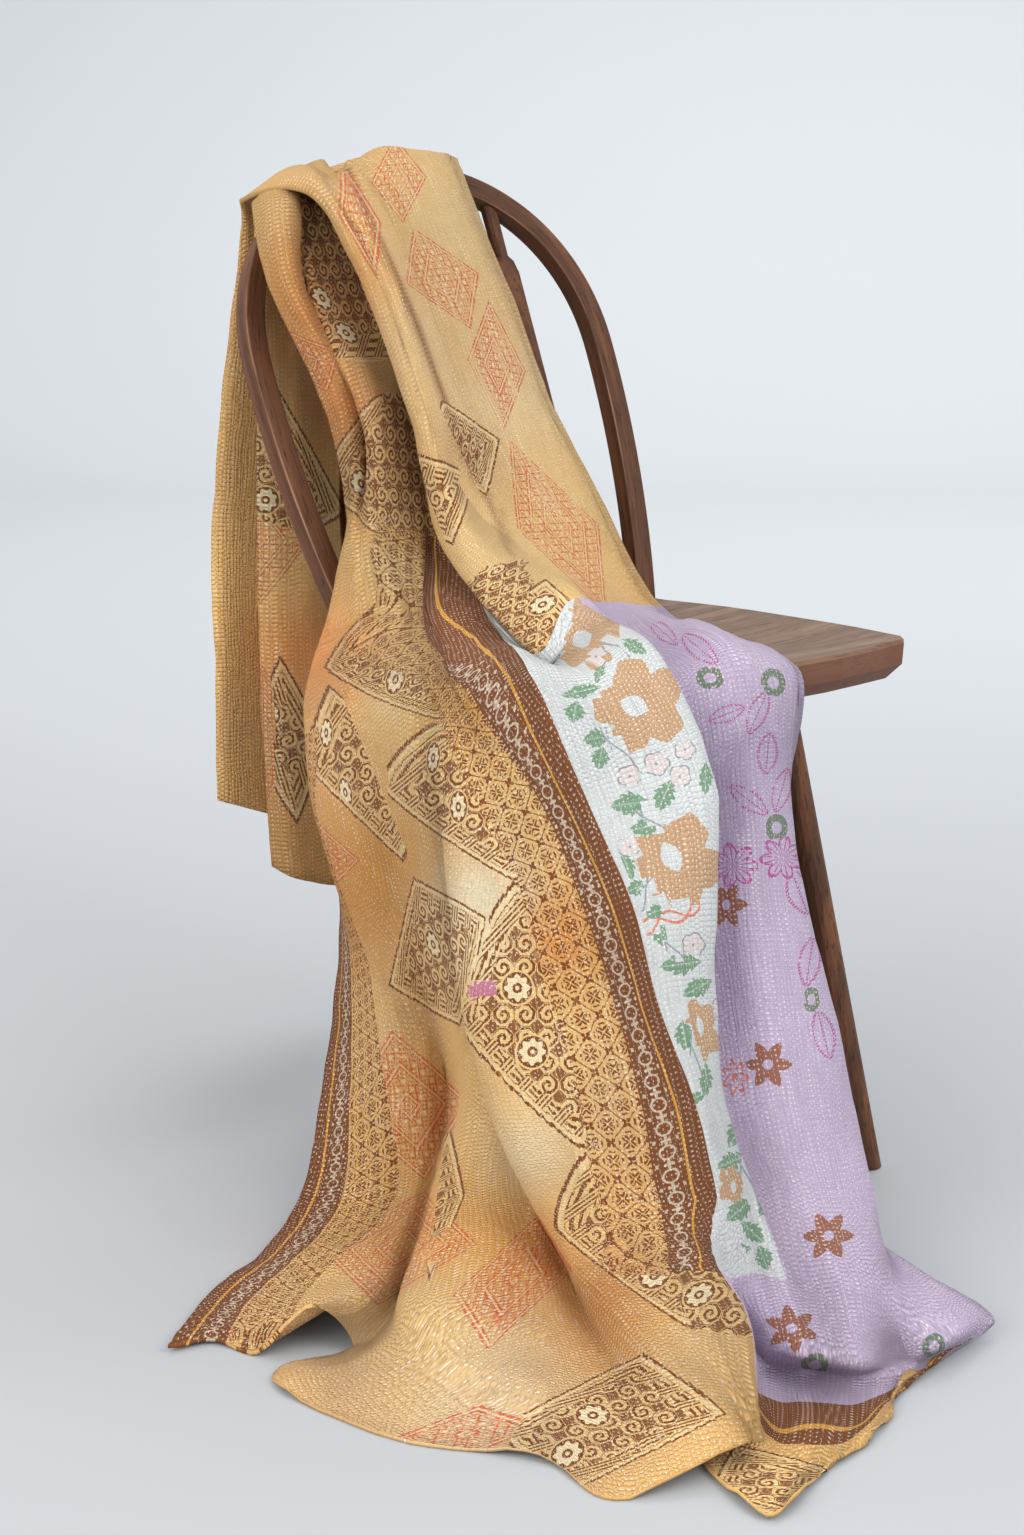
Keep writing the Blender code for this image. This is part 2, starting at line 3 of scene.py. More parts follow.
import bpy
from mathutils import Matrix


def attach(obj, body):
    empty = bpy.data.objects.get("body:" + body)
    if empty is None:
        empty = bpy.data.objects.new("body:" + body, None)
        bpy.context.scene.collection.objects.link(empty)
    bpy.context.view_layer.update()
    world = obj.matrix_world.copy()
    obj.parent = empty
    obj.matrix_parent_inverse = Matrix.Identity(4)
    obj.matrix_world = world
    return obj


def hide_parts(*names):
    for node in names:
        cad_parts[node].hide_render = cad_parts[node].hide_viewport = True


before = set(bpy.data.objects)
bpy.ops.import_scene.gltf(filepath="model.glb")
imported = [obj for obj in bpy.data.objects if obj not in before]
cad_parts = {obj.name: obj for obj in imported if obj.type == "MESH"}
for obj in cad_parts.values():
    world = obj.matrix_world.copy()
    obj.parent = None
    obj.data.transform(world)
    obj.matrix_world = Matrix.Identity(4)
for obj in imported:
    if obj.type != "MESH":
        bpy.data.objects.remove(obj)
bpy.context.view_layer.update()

import ast
import logging
from dataclasses import asdict, dataclass, field
from enum import Enum
from math import cos, pi, radians, sin

import bpy
import numpy as np
from mathutils import Vector, noise
from mathutils.bvhtree import BVHTree

log = logging.getLogger("kantha_quilt")

# millimetres in a metre, and a length that keeps a division off zero
MM = 1000.0
TINY = 1e-9


# ---------------------------------------------------------------- nodes, colours and meshes
def linear(colour: str) -> tuple[float, float, float, float]:
    """An sRGB hex colour as linear red, green, blue and alpha.

    Args:
        colour: the colour as six hex digits after a #.

    Returns:
        The four linear values that a colour socket takes.
    """
    parts = [int(colour[start:start + 2], 16) / 255 for start in (1, 3, 5)]
    return (*[p / 12.92 if p <= 0.04045 else ((p + 0.055) / 1.055) ** 2.4 for p in parts], 1.0)


def add_node(tree: bpy.types.NodeTree, kind: str, inputs: dict | tuple = (),
             **settings: object) -> bpy.types.Node:
    """Adds one node with its settings and links.

    Args:
        tree: the node tree that it goes into.
        kind: the node's Blender type.
        inputs: what each socket, by index or name, is linked to or set to.
        settings: the node's own properties.

    Returns:
        The new node.
    """
    made = tree.nodes.new(kind)
    for name, value in settings.items():
        setattr(made, name, value)
    for key, value in inputs.items() if isinstance(inputs, dict) else enumerate(inputs):
        if isinstance(value, bpy.types.NodeSocket):
            tree.links.new(value, made.inputs[key])
        else:
            made.inputs[key].default_value = value
    return made


SIGNS = {
    ast.Add: "ADD", ast.Sub: "SUBTRACT", ast.Mult: "MULTIPLY", ast.Div: "DIVIDE", ast.Pow: "POWER",
    ast.Lt: "LESS_THAN", ast.Gt: "GREATER_THAN",
}
CALLS = {
    "abs": "ABSOLUTE", "min": "MINIMUM", "max": "MAXIMUM", "sin": "SINE", "cos": "COSINE", "root": "SQRT",
    "fract": "FRACT", "floor": "FLOOR", "angle": "ARCTAN2", "zigzag": "PINGPONG", "same": "COMPARE",
}


def work_out(tree: bpy.types.NodeTree, sums: str, known: dict[str, object]) -> dict[str, object]:
    """Writes sums as nodes: each line gives a name to a formula of numbers and names known before it.

    Args:
        tree: the node tree that the sums go into.
        sums: lines such as "inside = (reach < 0.5) * ink".
        known: the sockets and numbers that the sums start from, by name.

    Returns:
        Every name, the known ones too, with its socket or number.
    """
    known = dict(known)

    def term(part: ast.AST) -> object:
        """The socket or number that one part of a formula comes to."""
        if isinstance(part, ast.Constant):
            return float(part.value)
        if isinstance(part, ast.Name):
            return known[part.id]
        if isinstance(part, ast.BinOp):
            operation, parts = SIGNS[type(part.op)], [part.left, part.right]
        elif isinstance(part, ast.Compare):
            operation, parts = SIGNS[type(part.ops[0])], [part.left, part.comparators[0]]
        else:
            operation, parts = CALLS[part.func.id], part.args
        return add_node(tree, "ShaderNodeMath", tuple(map(term, parts)), operation=operation).outputs[0]

    for line in ast.parse(sums).body:
        known[line.targets[0].id] = term(line.value)
    return known


def lay_inks(tree: bpy.types.NodeTree, ground: object, inks: list[tuple[object, str]]) -> object:
    """Lays inks over a ground in turn.

    Args:
        tree: the node tree that they go into.
        ground: the ground's colour, a socket or four linear values.
        inks: the share that each ink covers, and its colour as a hex string.

    Returns:
        The colour socket of all of them.
    """
    for share, colour in inks:
        sockets = {0: share, 6: ground, 7: linear(colour)}
        ground = add_node(tree, "ShaderNodeMix", sockets, data_type="RGBA").outputs[2]
    return ground


def new_material(name: str) -> tuple[bpy.types.Material, bpy.types.NodeTree, bpy.types.Node]:
    """A material with its node tree and its Principled surface."""
    made = bpy.data.materials.new(name)
    made.use_nodes = True
    return made, made.node_tree, made.node_tree.nodes["Principled BSDF"]


def dress(surface: bpy.types.Node, **sockets: object) -> None:
    """Sets or links the surface's sockets, told by their names with _ for each space.

    Args:
        surface: the Principled surface.
        sockets: what each socket is linked to or set to.
    """
    for name, value in sockets.items():
        socket = surface.inputs[name.replace("_", " ")]
        if isinstance(value, bpy.types.NodeSocket):
            surface.id_data.links.new(value, socket)
        else:
            socket.default_value = value


def new_piece(name: str, points: list, faces: list, material: bpy.types.Material) -> bpy.types.Object:
    """Adds a smooth-shaded mesh of one material to the scene.

    Args:
        name: the piece's name.
        points: its places.
        faces: the numbers of each face's places.
        material: what it is made of.

    Returns:
        The piece.
    """
    mesh = bpy.data.meshes.new(name)
    mesh.from_pydata(points, [], faces)
    mesh.shade_smooth()
    mesh.materials.append(material)
    made = bpy.data.objects.new(name, mesh)
    bpy.context.scene.collection.objects.link(made)
    return made


# ---------------------------------------------------------------- the view and the studio
@dataclass(frozen=True)
class View:
    """The viewing point in front of the chair, and the places seen from it, in the row frame."""

    azimuth: float = radians(-36.0)
    pitch: float = radians(13.14)
    scale_px: float = 2984.7
    middle_px: tuple[float, float] = (512.0, 767.5)
    tall_px: float = 1535.0
    film_mm: float = 36.0
    farthest: float = 50.0
    point: tuple[float, float, float] = (-1.3184, -1.8321, 0.8957)
    chair_middle: tuple[float, float, float] = (0.1603, 0.2045, 0.0)

    def axes(self) -> np.ndarray:
        """The view's right, up and backward directions, one a row."""
        right = np.array([cos(self.azimuth), sin(self.azimuth), 0.0])
        back = np.array([
            sin(self.azimuth) * cos(self.pitch), -cos(self.azimuth) * cos(self.pitch), sin(self.pitch),
        ])
        return np.array([right, np.cross(back, right), back])

    def told(self, right: float, toward: float, up: float) -> Vector:
        """The place so many metres to the viewer's right, toward the viewer and up."""
        level = Vector((sin(self.azimuth), -cos(self.azimuth), 0.0))
        across = Vector((cos(self.azimuth), sin(self.azimuth), 0.0))
        return across * right + level * toward + Vector((0.0, 0.0, up))

    def rays(self, table: np.ndarray) -> np.ndarray:
        """The way to look for each (across, down) pixel of a table."""
        right, up, back = self.axes()
        across = (table[..., :1] - self.middle_px[0]) / self.scale_px
        rise = (self.middle_px[1] - table[..., 1:2]) / self.scale_px
        return right * across + up * rise - back

    def hanging_places(self, table: np.ndarray) -> np.ndarray:
        """Places seen at (across, down) that stand so many centimetres toward the viewer.

        Args:
            table: rows of (across, down, toward), toward being counted from the chair's middle.

        Returns:
            The places in the row frame, in metres.
        """
        level = np.array([sin(self.azimuth), -cos(self.azimuth), 0.0])
        rays = self.rays(table)
        ahead = table[..., 2] / 100.0 + np.dot(self.chair_middle, level) - np.dot(self.point, level)
        return np.array(self.point) + rays * (ahead / (rays @ level))[..., None]

    def floor_places(self, table: np.ndarray) -> np.ndarray:
        """Places seen at (across, down) that are so many centimetres above the floor.

        Args:
            table: rows of (across, down, height).

        Returns:
            The places in the row frame, in metres.
        """
        rays = self.rays(table)
        drop = (table[..., 2] / 100.0 - self.point[2]) / rays[..., 2]
        return np.array(self.point) + rays * drop[..., None]

    def seen(self, places: np.ndarray) -> np.ndarray:
        """Where places are seen, as (across, down, distance)."""
        local = (places - np.array(self.point)) @ self.axes().T
        ahead = -local[..., 2]
        across = self.middle_px[0] + local[..., 0] / ahead * self.scale_px
        down = self.middle_px[1] - local[..., 1] / ahead * self.scale_px
        return np.stack([across, down, ahead], -1)

    def add_camera(self) -> bpy.types.Object:
        """Adds the camera at the viewing point."""
        made = bpy.data.objects.new("camera", bpy.data.cameras.new("camera"))
        made.data.sensor_width = self.film_mm
        made.data.lens = self.scale_px / self.tall_px * self.film_mm
        made.data.clip_end = self.farthest
        made.location = self.point
        made.rotation_euler = Vector(self.axes()[2]).to_track_quat("Z", "Y").to_euler()
        bpy.context.scene.collection.objects.link(made)
        bpy.context.scene.camera = made
        return made


@dataclass(frozen=True)
class SoftLight:
    """One soft square light that the camera doesn't see, placed and aimed as View.told takes places."""

    name: str
    place: tuple[float, float, float]
    size: float
    watts: float
    colour: str
    aim: tuple[float, float, float] = (0.0, 0.0, 0.45)

    def build(self, view: View) -> bpy.types.Object:
        """Adds the light."""
        made = bpy.data.objects.new(self.name, bpy.data.lights.new(self.name, "AREA"))
        made.data.shape = "SQUARE"
        made.data.size = self.size
        made.data.energy = self.watts
        made.data.color = linear(self.colour)[:3]
        made.location = view.told(*self.place)
        made.rotation_euler = (made.location - view.told(*self.aim)).to_track_quat("Z", "Y").to_euler()
        made.visible_camera = False
        bpy.context.scene.collection.objects.link(made)
        return made


@dataclass
class Studio:
    """A pale paper sweep with soft daylight from the right and in front."""

    sweep_half_width: float = 4.5
    floor_ahead: float = 6.5
    floor_behind: float = 4.2
    sweep_radius: float = 1.3
    wall_height: float = 5.0
    paper_drop: float = 0.0004
    sweep_steps: int = 24
    floor_colour: str = "#B0B4B9"
    mottle_colour: str = "#A6ABB0"
    lights: tuple[SoftLight, ...] = (
        SoftLight("window_light", (1.9, 2.1, 2.2), 1.7, 46.0, "#FFFDF8"),
        SoftLight("fill_light", (-1.7, 2.5, 1.5), 2.4, 68.0, "#FFFBF4"),
        SoftLight("wall_light", (1.0, -2.8, 4.2), 3.0, 188.0, "#FFFDF7", (0.6, -5.6, 1.2)),
    )
    sky_strength: float = 1.17
    sky_colour: str = "#ECECED"

    def paper(self) -> bpy.types.Material:
        """Matt seamless paper: even, with the faintest mottle of its fibres."""
        made, tree, surface = new_material("matt_seamless_paper")
        where = add_node(tree, "ShaderNodeTexCoord").outputs["Object"]
        mottle = add_node(tree, "ShaderNodeTexNoise", {"Vector": where, "Scale": 3.0, "Detail": 3.0})
        share = work_out(tree, "share = mottle * 0.12", {"mottle": mottle.outputs["Fac"]})["share"]
        shade = lay_inks(tree, linear(self.floor_colour), [(share, self.mottle_colour)])
        dress(surface, Base_Color=shade, Roughness=0.92, Specular_IOR_Level=0.2)
        return made

    def add_sweep(self, view: View) -> bpy.types.Object:
        """The floor that curves up into the backdrop, square to the view and a little under the feet."""
        line = [(self.floor_ahead, 0.0)]
        for step in range(self.sweep_steps + 1):
            turn = pi / 2 * step / self.sweep_steps
            line.append((
                -self.floor_behind - self.sweep_radius * sin(turn), self.sweep_radius * (1.0 - cos(turn)),
            ))
        line.append((line[-1][0], self.wall_height))
        points = [
            view.told(side, toward, height - self.paper_drop)
            for toward, height in line for side in (-self.sweep_half_width, self.sweep_half_width)
        ]
        faces = [(low, low + 1, low + 3, low + 2) for low in range(0, len(points) - 2, 2)]
        made = new_piece("paper_sweep", points, faces, self.paper())
        return made

    def build(self, view: View) -> None:
        """Sets up the sweep, the lights and the even light of the room."""
        self.add_sweep(view)
        for light in self.lights:
            light.build(view)
        world = bpy.data.worlds.new("room")
        world.use_nodes = True
        ground = world.node_tree.nodes["Background"]
        ground.inputs["Color"].default_value = linear(self.sky_colour)
        ground.inputs["Strength"].default_value = self.sky_strength
        bpy.context.scene.world = world
        bpy.context.scene.view_settings.view_transform = "Standard"


# ---------------------------------------------------------------- finishes of the chair
# how much of each tone shows in the wood, its relief and how dull it is, from its noises, wear and way up;
# faces turned away from upward are made darker
WOOD_SUMS = """
warm = min(max((figure - 0.44) * 5.0, 0.0), 1.0)
lines = min(max((pores - 0.53) * 9.0, 0.0), 1.0) * 0.75
worn = min(max((patches - 0.52) * 4.0, 0.0), 1.0) * 0.5
height = figure * 0.25 - lines * 0.2 + pores * 0.1
shine = 0.12 * lines + roughness + 0.1 * patches - 0.05
rubbed = min(max((arris - 0.35) * 2.0, 0.0), 1.0) * min(max((patches - 0.40) * 5.0, 0.15), 1.0) * 0.55
kept = stained_edges * min(max((0.8 - upright) * 5.0, 0.0), 1.0) * 0.75
"""


@dataclass(frozen=True)
class WaxedWood:
    """Old oak or elm, stained, waxed and worn: long grain, darker pores and a rubbed sheen."""

    name: str
    pale: str
    middle: str
    dark: str
    grain_mm: float = 3.0
    pore_mm: float = 0.9
    roughness: float = 0.55
    stained_edges: float = 0.0
    side_colour: str = "#6B4330"
    rubbed_arris: str = "#A98369"
    patch_scale: float = 9.0
    grain_length: float = 14.0
    relief: float = 0.0006

    def material(self, along: str) -> bpy.types.Material:
        """The wood with its grain along one way of the piece.

        Args:
            along: "grain" where the mesh holds its own grain coordinates, or the axis that the grain follows.

        Returns:
            The material.
        """
        made, tree, surface = new_material(self.name)
        if along == "grain":
            where = add_node(tree, "ShaderNodeAttribute", attribute_name="grain").outputs["Vector"]
        else:
            where = add_node(tree, "ShaderNodeTexCoord").outputs["Object"]
        # the noise runs so many times as long as it is wide; a mesh's own grain runs along its x
        stretch = [1 / self.grain_length if way == along.replace("grain", "X") else 1.0 for way in "XYZ"]
        long = add_node(tree, "ShaderNodeMapping", {"Vector": where, "Scale": stretch}).outputs["Vector"]
        figure, pores, patches = (
            add_node(tree, "ShaderNodeTexNoise", {
                "Vector": vector, "Scale": scale, "Detail": detail, "Roughness": rough, "Distortion": bend,
            }).outputs["Fac"]
            for vector, scale, detail, rough, bend in (
                (long, MM / (self.grain_mm * 5.0), 5.0, 0.5, 0.6),
                (long, MM / (self.pore_mm * 2.5), 4.0, 0.7, 0.0),
                (where, self.patch_scale, 3.0, 0.5, 0.0),
            )
        )
        arris = add_node(tree, "ShaderNodeAttribute", attribute_name="arris").outputs["Fac"]
        normal = add_node(tree, "ShaderNodeNewGeometry").outputs["Normal"]
        upright = add_node(tree, "ShaderNodeSeparateXYZ", (normal,)).outputs[2]
        noises = {"figure": figure, "pores": pores, "patches": patches, "arris": arris, "upright": upright}
        known = work_out(tree, WOOD_SUMS, dict(asdict(self), **noises))
        # the faces that turn away from upward are darker toward the side colour
        colour = lay_inks(tree, linear(self.middle), [
            (known["warm"], self.pale), (known["worn"], self.middle), (known["lines"], self.dark),
            (known["kept"], self.side_colour), (known["rubbed"], self.rubbed_arris),
        ])
        bump = {"Height": known["height"], "Distance": self.relief, "Strength": 0.8}
        dress(surface, Base_Color=colour, Roughness=known["shine"], Specular_IOR_Level=0.25,
              Normal=add_node(tree, "ShaderNodeBump", bump).outputs["Normal"])
        return made


# ---------------------------------------------------------------- how the drape is laid out
# One row for each line across the cloth, from the back hem to the front hem, with twenty places in each, from
# the free edge on the left to the far edge. A place of a hanging row is (across px, down px, centimetres
# toward the viewer from the chair's middle).
HANGING_ROWS = (
    (  # back_hem
        (272, 866, -4.5), (282, 872, -3.5), (292, 877, -3), (302, 880, -3.5), (312, 882, -4.5),
        (322, 884, -5.5), (334, 885, -7), (344, 884, -9), (350, 880, -17), (362, 876, -11),
        (370, 870, -20), (388, 866, -13), (398, 850, -24), (228, 803, -9), (250, 808, -14),
        (312, 815, -24), (380, 815, -30), (434, 812, -31), (442, 810, -32), (448, 808, -33),
    ),
    (  # back_low
        (263, 708, -4.5), (272, 716, -3.5), (282, 722, -3), (294, 728, -3.5), (306, 732, -4.5),
        (318, 735, -5.5), (331, 737, -7), (342, 736, -9), (349, 733, -16), (362, 730, -11),
        (370, 726, -19), (388, 720, -13), (397, 714, -24), (226, 682, -9), (252, 690, -13.5),
        (312, 700, -23), (380, 698, -29), (434, 690, -30), (442, 687, -31), (448, 684, -32),
    ),
    (  # back_mid
        (258, 530, -4.5), (268, 536, -4), (278, 540, -4), (290, 543, -4.5), (302, 545, -5),
        (314, 547, -6), (326, 547, -7.5), (337, 546, -9), (345, 543, -14), (358, 541, -11.5),
        (367, 537, -17), (384, 534, -14), (393, 530, -22), (223, 520, -8.5), (250, 522, -13),
        (310, 530, -21), (380, 528, -27), (434, 514, -28), (443, 511, -29), (450, 508, -30),
    ),
    (  # back_high
        (257, 345, -5), (266, 346, -5.5), (276, 347, -6), (286, 348, -6.5), (296, 348, -7),
        (306, 348, -8), (316, 348, -9), (326, 347, -10), (335, 345, -12), (345, 343, -13),
        (355, 341, -15), (366, 339, -15.5), (373, 337, -19), (235, 342, -8), (260, 342, -12.5),
        (310, 342, -17.5), (375, 336, -23), (438, 316, -25.5), (446, 314, -26), (452, 312, -26.5),
    ),
    (  # behind_crest
        (256, 235, -7), (264, 222, -8), (272, 214, -9), (280, 208, -10), (288, 204, -11),
        (295, 201, -12), (302, 198, -12.8), (308, 196, -13.4), (314, 195, -14), (319, 194, -14.6),
        (324, 193, -15.1), (329, 192, -15.6), (326, 184, -17.5), (243, 226, -8.8), (288, 194, -15.5),
        (336, 186, -18.5), (392, 182, -20.5), (442, 183, -23), (448, 184, -23.5), (454, 186, -24),
    ),
    (  # crest
        (258, 216, -4.2), (265, 207, -4.8), (272, 201, -5.4), (279, 196, -6), (285, 192, -6.6),
        (291, 188, -7.4), (297, 185, -8), (303, 182, -8.6), (308, 180, -9), (312, 178, -9.4),
        (316, 176, -9.8), (320, 174, -10.2), (318, 166, -9.8), (246, 199, -3.8), (292, 167, -7),
        (336, 172, -11.5), (384, 147, -14.5), (442, 155, -19.2), (449, 157, -19.8), (456, 160, -20.4),
    ),
    (  # front_top
        (254, 207, -0.5), (266, 199, 1), (284, 195, 1.5), (297, 197, 0.5), (304, 202, -2),
        (311, 205, -3), (318, 205, -3.5), (325, 204, -4), (331, 203, -4.5), (337, 202, -5),
        (342, 200, -5.5), (346, 197, -5), (342, 193, -2), (312, 196, 3), (336, 187, 3),
        (358, 192, -5), (406, 180, -9.8), (452, 184, -13.6), (459, 186, -14.2), (466, 188, -14.8),
    ),
    (  # front_high
        (271, 290, 3), (281, 284, 5), (293, 283, 5.5), (302, 287, 4), (306, 291, 1),
        (312, 295, 2.5), (325, 299, 1.5), (337, 300, 0.5), (347, 300, -0.5), (356, 299, -1.5),
        (365, 297, -2.5), (373, 294, -2.5), (378, 291, 0), (367, 290, 4.5), (384, 276, 6),
        (399, 287, -2.5), (450, 285, -7.3), (496, 287, -11), (502, 289, -11.5), (509, 292, -12),
    ),
    (  # front_mid
        (328, 416, 5), (340, 408, 6), (352, 406, 5.5), (363, 409, 4), (369, 413, 2),
        (362, 417, 7.5), (370, 419, 8.5), (380, 420, 8), (389, 419, 6.5), (398, 418, 5),
        (406, 416, 3.5), (414, 414, 2.5), (420, 412, 4), (411, 417, 8.5), (428, 404, 10),
        (447, 405, 1), (493, 398, -4.2), (537, 396, -8), (543, 398, -8.5), (550, 400, -9),
    ),
    (  # gather
        (350, 548, 6.5), (349, 538, 8), (347, 530, 9), (352, 526, 10), (361, 527, 10),
        (370, 530, 11), (381, 533, 11), (392, 536, 10.5), (402, 539, 10), (410, 541, 9.5),
        (419, 544, 9), (432, 548, 7.5), (452, 548, 7.5), (444, 547, 12), (470, 530, 13.5),
        (482, 502, 3), (540, 504, -0.6), (590, 503, -4.8), (597, 504, -5.4), (604, 506, -6),
    ),
    (  # seat
        (338, 622, 9.5), (330, 622, 10), (325, 632, 12), (350, 614, 14), (368, 607, 15),
        (382, 604, 15), (396, 605, 16), (406, 607, 16), (412, 608, 17), (418, 608, 17),
        (424, 607, 18), (434, 610, 18), (482, 606, 17), (534, 650, 27), (562, 601, 23),
        (592, 598, 10), (622, 600, 4.5), (644, 603, 0.5), (651, 604, 0), (658, 605, -0.4),
    ),
    (  # under_roll
        (334, 655, 9.2), (323, 652, 9.8), (314, 664, 12.2), (340, 646, 15.8), (364, 638, 17.8),
        (382, 634, 18.8), (399, 634, 20.2), (411, 636, 20.6), (419, 637, 21.4), (427, 638, 21.8),
        (436, 640, 23), (448, 644, 23.6), (503, 640, 22.5), (549, 668, 28), (606, 622, 30.5),
        (632, 646, 20.5), (668, 626, 16.5), (700, 629, 12.5), (708, 632, 12), (715, 635, 11.6),
    ),
    (  # seat_edge
        (330, 706, 9), (315, 702, 10), (306, 718, 13), (332, 700, 18), (360, 690, 21),
        (384, 682, 24), (405, 680, 26), (420, 681, 27), (430, 683, 28), (440, 684, 29),
        (452, 686, 31), (466, 690, 33), (530, 674, 37), (590, 680, 40), (656, 656, 37),
        (674, 688, 34.5), (733, 662, 32.2), (786, 667, 30), (793, 670, 29.9), (800, 674, 29.8),
    ),
    (  # hang_high
        (336, 810, 9), (324, 808, 11), (317, 815, 16), (347, 812, 22), (382, 806, 25),
        (406, 800, 29), (422, 798, 32), (433, 800, 33), (440, 801, 34), (446, 801, 36),
        (492, 800, 39), (540, 800, 41), (582, 800, 42), (645, 792, 43), (711, 782, 41),
        (703, 800, 34), (752, 790, 34), (784, 785, 30.5), (788, 789, 28.5), (784, 794, 26.5),
    ),
    (  # hang_mid
        (342, 912, 11), (346, 915, 14), (351, 920, 18), (378, 922, 23), (409, 918, 25),
        (430, 910, 29), (444, 905, 32), (451, 905, 33), (455, 905, 34), (457, 905, 40),
        (525, 905, 43), (584, 905, 45), (628, 905, 46), (670, 900, 46), (713, 895, 43),
        (705, 905, 37), (758, 900, 37), (802, 895, 33), (796, 902, 28), (780, 908, 25),
    ),
    (  # hang_low
        (335, 1010, 14), (356, 1018, 18), (388, 1010, 23), (412, 1018, 24), (437, 1018, 24),
        (455, 1012, 30), (467, 1008, 32), (475, 1008, 32), (478, 1010, 33), (465, 1012, 43),
        (545, 1010, 46), (617, 1010, 47), (655, 1005, 48), (685, 1000, 48), (713, 1000, 45),
        (709, 1010, 40), (772, 1005, 41), (828, 1005, 37), (820, 1012, 30), (805, 1018, 27),
    ),
    (  # skirt_high
        (319, 1108, 20), (350, 1112, 23), (388, 1110, 26), (424, 1105, 26), (452, 1098, 24),
        (466, 1095, 33), (487, 1098, 36), (505, 1100, 35), (510, 1102, 35), (488, 1100, 46),
        (572, 1105, 49), (643, 1110, 50), (692, 1105, 51), (709, 1100, 50), (722, 1098, 48),
        (731, 1108, 45), (790, 1105, 45), (850, 1105, 40), (842, 1112, 32), (828, 1116, 28),
    ),
    (  # skirt_low
        (302, 1195, 27), (338, 1200, 29), (377, 1200, 31), (412, 1195, 31), (434, 1190, 30),
        (441, 1188, 38), (482, 1195, 42), (528, 1200, 42), (545, 1203, 41), (530, 1192, 49),
        (600, 1195, 52), (662, 1205, 53), (712, 1198, 53), (736, 1195, 51), (750, 1190, 50),
        (764, 1190, 48), (816, 1200, 49), (871, 1200, 43), (864, 1205, 35), (850, 1205, 30),
    ),
)

# a place of a floor row is (across px, down px, centimetres above the floor)
FLOOR_ROWS = (
    (  # floor_bend
        (260, 1255, 0.8), (298, 1264, 1.5), (344, 1264, 3.0), (385, 1262, 3.5), (412, 1262, 2.5),
        (419, 1262, 5.0), (478, 1268, 6.5), (545, 1290, 5.0), (580, 1298, 4.0), (580, 1264, 7.5),
        (652, 1266, 8.5), (714, 1270, 9.0), (726, 1278, 6.5), (755, 1275, 6.0), (780, 1280, 6.0),
        (806, 1290, 5.5), (845, 1285, 6.5), (880, 1288, 5.5), (898, 1282, 4.6), (893, 1254, 3.6),
    ),
    (  # roll_front
        (232, 1277, 0.6), (266, 1292, 1.0), (318, 1294, 2.5), (364, 1286, 4.2), (400, 1296, 2.2),
        (404, 1304, 4.6), (462, 1324, 5.5), (560, 1350, 3.6), (612, 1360, 3.0), (628, 1322, 6.0),
        (690, 1318, 7.0), (742, 1314, 7.6), (742, 1322, 3.4), (775, 1346, 3.4), (801, 1352, 3.6),
        (829, 1357, 3.4), (862, 1360, 3.4), (889, 1352, 1.6), (936, 1338, 2.8), (978, 1306, 2.2),
    ),
    (  # roll_under
        (209, 1296, 0.5), (244, 1310, 0.8), (300, 1314, 2.0), (348, 1299, 4.2), (386, 1322, 1.8),
        (392, 1344, 2.6), (444, 1362, 3.6), (560, 1392, 2.6), (628, 1404, 2.4), (668, 1366, 5.0),
        (716, 1364, 6.0), (753, 1366, 6.2), (750, 1372, 2.0), (776, 1372, 0.7), (802, 1376, 0.7),
        (830, 1379, 0.7), (862, 1380, 0.7), (900, 1372, 0.7), (946, 1352, 0.8), (990, 1326, 0.8),
    ),
    (  # band_line
        (188, 1320, 0.5), (226, 1326, 0.6), (279, 1334, 1.2), (331, 1303, 4.2), (372, 1340, 1.0),
        (342, 1368, 1.2), (418, 1398, 1.6), (552, 1430, 1.4), (628, 1452, 1.4), (712, 1412, 3.8),
        (740, 1408, 4.4), (760, 1408, 4.6), (756, 1412, 1.0), (774, 1442, 0.5), (803, 1446, 0.5),
        (834, 1446, 0.5), (858, 1438, 0.5), (888, 1404, 0.5), (912, 1380, 0.5), (950, 1352, 0.5),
    ),
    (  # front_hem
        (168, 1350, 0.3), (214, 1341, 0.3), (257, 1353, 0.3), (313, 1306, 4.2), (352, 1350, 0.3),
        (272, 1378, 0.3), (392, 1437, 0.3), (540, 1457, 0.3), (614, 1497, 0.3), (746, 1442, 2.4),
        (756, 1442, 2.6), (764, 1441, 2.4), (742, 1436, 0.5), (700, 1456, 0.3), (766, 1517, 0.3),
        (806, 1488, 0.3), (842, 1456, 0.3), (876, 1430, 0.3), (892, 1402, 0.3), (914, 1368, 0.3),
    ),
)

# the columns where the strips meet: (row, border's left edge, yellow line, white strip, lilac cloth)
SEAMS = (
    (0.0, 12.1, 12.4, 12.8, 14.3), (8.0, 12.1, 12.4, 12.8, 14.3), (9.0, 10.3, 11.0, 12.0, 14.3),
    (10.0, 9.9, 11.1, 12.0, 14.3), (11.0, 9.0, 11.5, 12.0, 14.3), (12.0, 11.1, 11.7, 12.0, 14.3),
    (13.0, 11.0, 11.6, 12.05, 14.3), (17.0, 11.0, 11.6, 12.1, 14.3), (18.0, 10.25, 10.7, 11.05, 14.3),
    (22.0, 10.25, 10.7, 11.05, 14.3),
)


